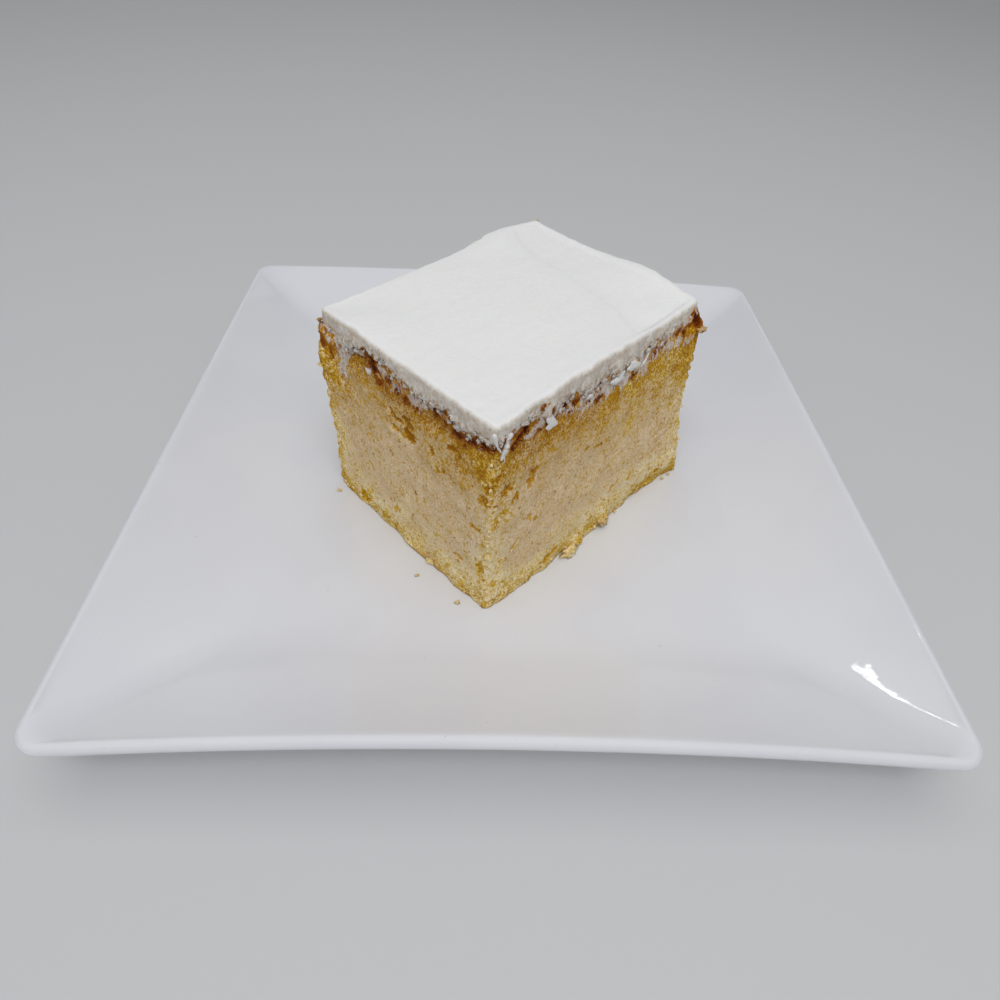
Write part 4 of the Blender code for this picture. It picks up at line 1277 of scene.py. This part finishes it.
# Loose crumbs on the plate and crumbs that cling to the slice
crumbSpots = {
    # x, y (mm), radius (mm)
    "onPlate": ((-25.6, -49.6, 0.55), (-13.9, -58.4, 0.65), (-52.3, -17.6, 0.6)),
    # face, distance, height, stand-off, radii sideways, upwards, outwards (mm), browned share
    "clinging": (
        ("right", 85.4, 53.0, 2.4, 1.6, 0.8, 1.5, 0.5), ("left", 66.0, 57.6, 1.0, 0.5, 0.35, 0.7, 0.7),
        ("left", 66.4, 44.2, 1.8, 1.2, 0.24, 0.8, 0.0), ("right", 31.4, 0.6, 1.8, 3.0, 0.9, 1.3, 0.0),
        ("right", 47.4, 1.8, 0.8, 1.9, 1.2, 1.2, 0.3), ("left", 31.0, 0.6, 0.6, 2.0, 0.5, 0.9, 0.0),
        ("left", 22.0, 0.5, 0.7, 1.4, 0.45, 0.9, 0.0), ("far", 65.6, 58.7, 0.3, 0.4, 0.3, 0.4, 0.3),
    ),
    # small crumbs along the base, up the torn upright edges and on the bare crust: how many,
    # their least and most radius and stand-off (mm)
    "base": {"count": 48, "radius": (0.25, 0.6), "out": (0.0, 0.5), "firstSeed": 300},
    "upright": {"count": 60, "radius": (0.25, 0.65), "out": (-0.7, -0.2), "firstSeed": 400},
    "crust": {"count": 70, "radius": (0.2, 0.5), "out": (0.0, 0.5), "firstSeed": 500},
    "baseFaces": ("left", "right", "left", "right", "hidden", "far"),
    "uprights": (("left", 65.6), ("right", 85.1), ("left", 0.9)),  # face and distance (mm)
    "uprightHeights": (2, 52),  # mm
    "flatness": (0.6, 1.1),  # least and most height of a crumb, as a share of its radius
    "seed": 8,
    "spikes": 0.75,
    "surface": {"Roughness": 0.75, "Specular IOR Level": 0.3},
    "relief": 0.12 * mm,
}


def buildCrumbs(finish):
    draw = np.random.default_rng(crumbSpots["seed"])
    builder = bmesh.new()
    browned = builder.verts.layers.float.new("browned")

    def addCrumb(centre, axes, radii, share, seed, level=2):
        before = len(builder.verts)
        addLump(builder, centre, axes, radii, crumbSpots["spikes"], seed, level)
        builder.verts.ensure_lookup_table()
        for index in range(before, len(builder.verts)):
            builder.verts[index][browned] = share

    flat = (Vector((1, 0, 0)), Vector((0, 1, 0)), Vector((0, 0, 1)))
    for number, (x, y, radius) in enumerate(crumbSpots["onPlate"]):
        centre = Vector((x * mm, y * mm, wellLevel + 0.45 * radius * mm))
        addCrumb(centre, flat, (radius, radius * 0.8, radius * 0.55), 0.1, 200 + number, 3)
    for number, (face, along, height, out, *radii, share) in enumerate(crumbSpots["clinging"]):
        addCrumb(*onFace(face, along, height, out), radii, share, 220 + number, 3)
    strewn = crumbSpots["base"]
    for number in range(strewn["count"]):
        face = crumbSpots["baseFaces"][number % len(crumbSpots["baseFaces"])]
        along, height = draw.uniform(0, faceLengths[face]), abs(draw.normal(0, 0.8)) + 0.15
        radius = draw.uniform(*strewn["radius"])
        spot = onFace(face, along, height, draw.uniform(*strewn["out"]))
        radii = (radius * draw.uniform(0.8, 1.7), radius * 0.8, radius)
        addCrumb(*spot, radii, 0.0, strewn["firstSeed"] + number)
    strewn = crumbSpots["upright"]
    for number in range(strewn["count"]):
        face, edge = crumbSpots["uprights"][number % len(crumbSpots["uprights"])]
        radius = draw.uniform(*strewn["radius"])
        along = edge + draw.normal(0, 0.3)
        height = draw.uniform(*crumbSpots["uprightHeights"])
        spot = onFace(face, along, height, draw.uniform(*strewn["out"]))
        radii = (radius, radius * draw.uniform(*crumbSpots["flatness"]), radius)
        addCrumb(*spot, radii, 0.0, strewn["firstSeed"] + number)
    strewn = crumbSpots["crust"]
    for number in range(strewn["count"]):
        face, along, height, wide, tall, strength = crustPatches[number % len(crustPatches)]
        along = max(0.3, along + draw.normal(0, 0.5) * wide)
        height += draw.normal(0, 0.5) * tall
        radius = draw.uniform(*strewn["radius"])
        spot = onFace(face, along, height, draw.uniform(*strewn["out"]))
        radii = (radius, radius * draw.uniform(*crumbSpots["flatness"]), radius)
        addCrumb(*spot, radii, 1.0, strewn["firstSeed"] + number)
    addPiece("looseCrumbs", meshFrom(builder, "looseCrumbs"), finish)


def crumbFinish():
    finish, tree, shader = newFinish("looseCrumb", crumbSpots["surface"])
    fine = spread(tree, grain(tree, 0.45 * mm, 3.0, 0.6), 0.35, 0.65)
    pale = colourAlong(tree, spread(tree, fine, 0.0, 1.0, 0.1, 0.62), spongeLooks["edge"])
    dark = colourAlong(tree, fine, spongeLooks["crust"])
    joinUp(tree, mixColour(tree, painted(tree, "browned"), pale, dark), shader.inputs["Base Color"])
    rough = pitted(tree, grain(tree, 0.3 * mm, 3.0, 0.6), crumbSpots["relief"], 0.8)
    joinUp(tree, rough, shader.inputs["Normal"])
    return finish


def buildFloor():
    finish, tree, shader = newFinish("paleFloor", {"Roughness": 0.65})
    soft = grain(tree, 400.0 * mm, 1.0, 0.4)
    tint = light["floorTint"]
    lower = tuple(part * 0.97 for part in tint)
    joinUp(tree, mixColour(tree, soft, lower, tint), shader.inputs["Base Color"])
    half = light["floorHalf"]
    corners = [(-half, -half, 0), (half, -half, 0), (half, half, 0), (-half, half, 0)]
    mesh = bpy.data.meshes.new("floor")
    mesh.from_pydata(corners, [], [(0, 1, 2, 3)])
    mesh.materials.append(finish)
    addObject("floor", mesh)


setCamera()
setLight()
buildFloor()
print("camera, light and floor are set")
places, facings, rounds = sliceStations()
drops = creamDrop(places, rounds)
buildSponge(places, facings, rounds, drops, spongeFinish())
creamMaterial = creamFinish()
buildCream(places, facings, rounds, drops, creamMaterial)
order = np.argsort(rounds)


# The height of the cream's torn edge at a place on a face, in mm
def lipHeight(face, along):
    drop = np.interp(distanceRound(face, along), rounds[order], drops[order])
    return (sliceHeight(facePlan(face, along)) - drop) / mm


buildLumps(creamMaterial, lipHeight)
buildCrumbs(crumbFinish())
buildPlate(glazeFinish())
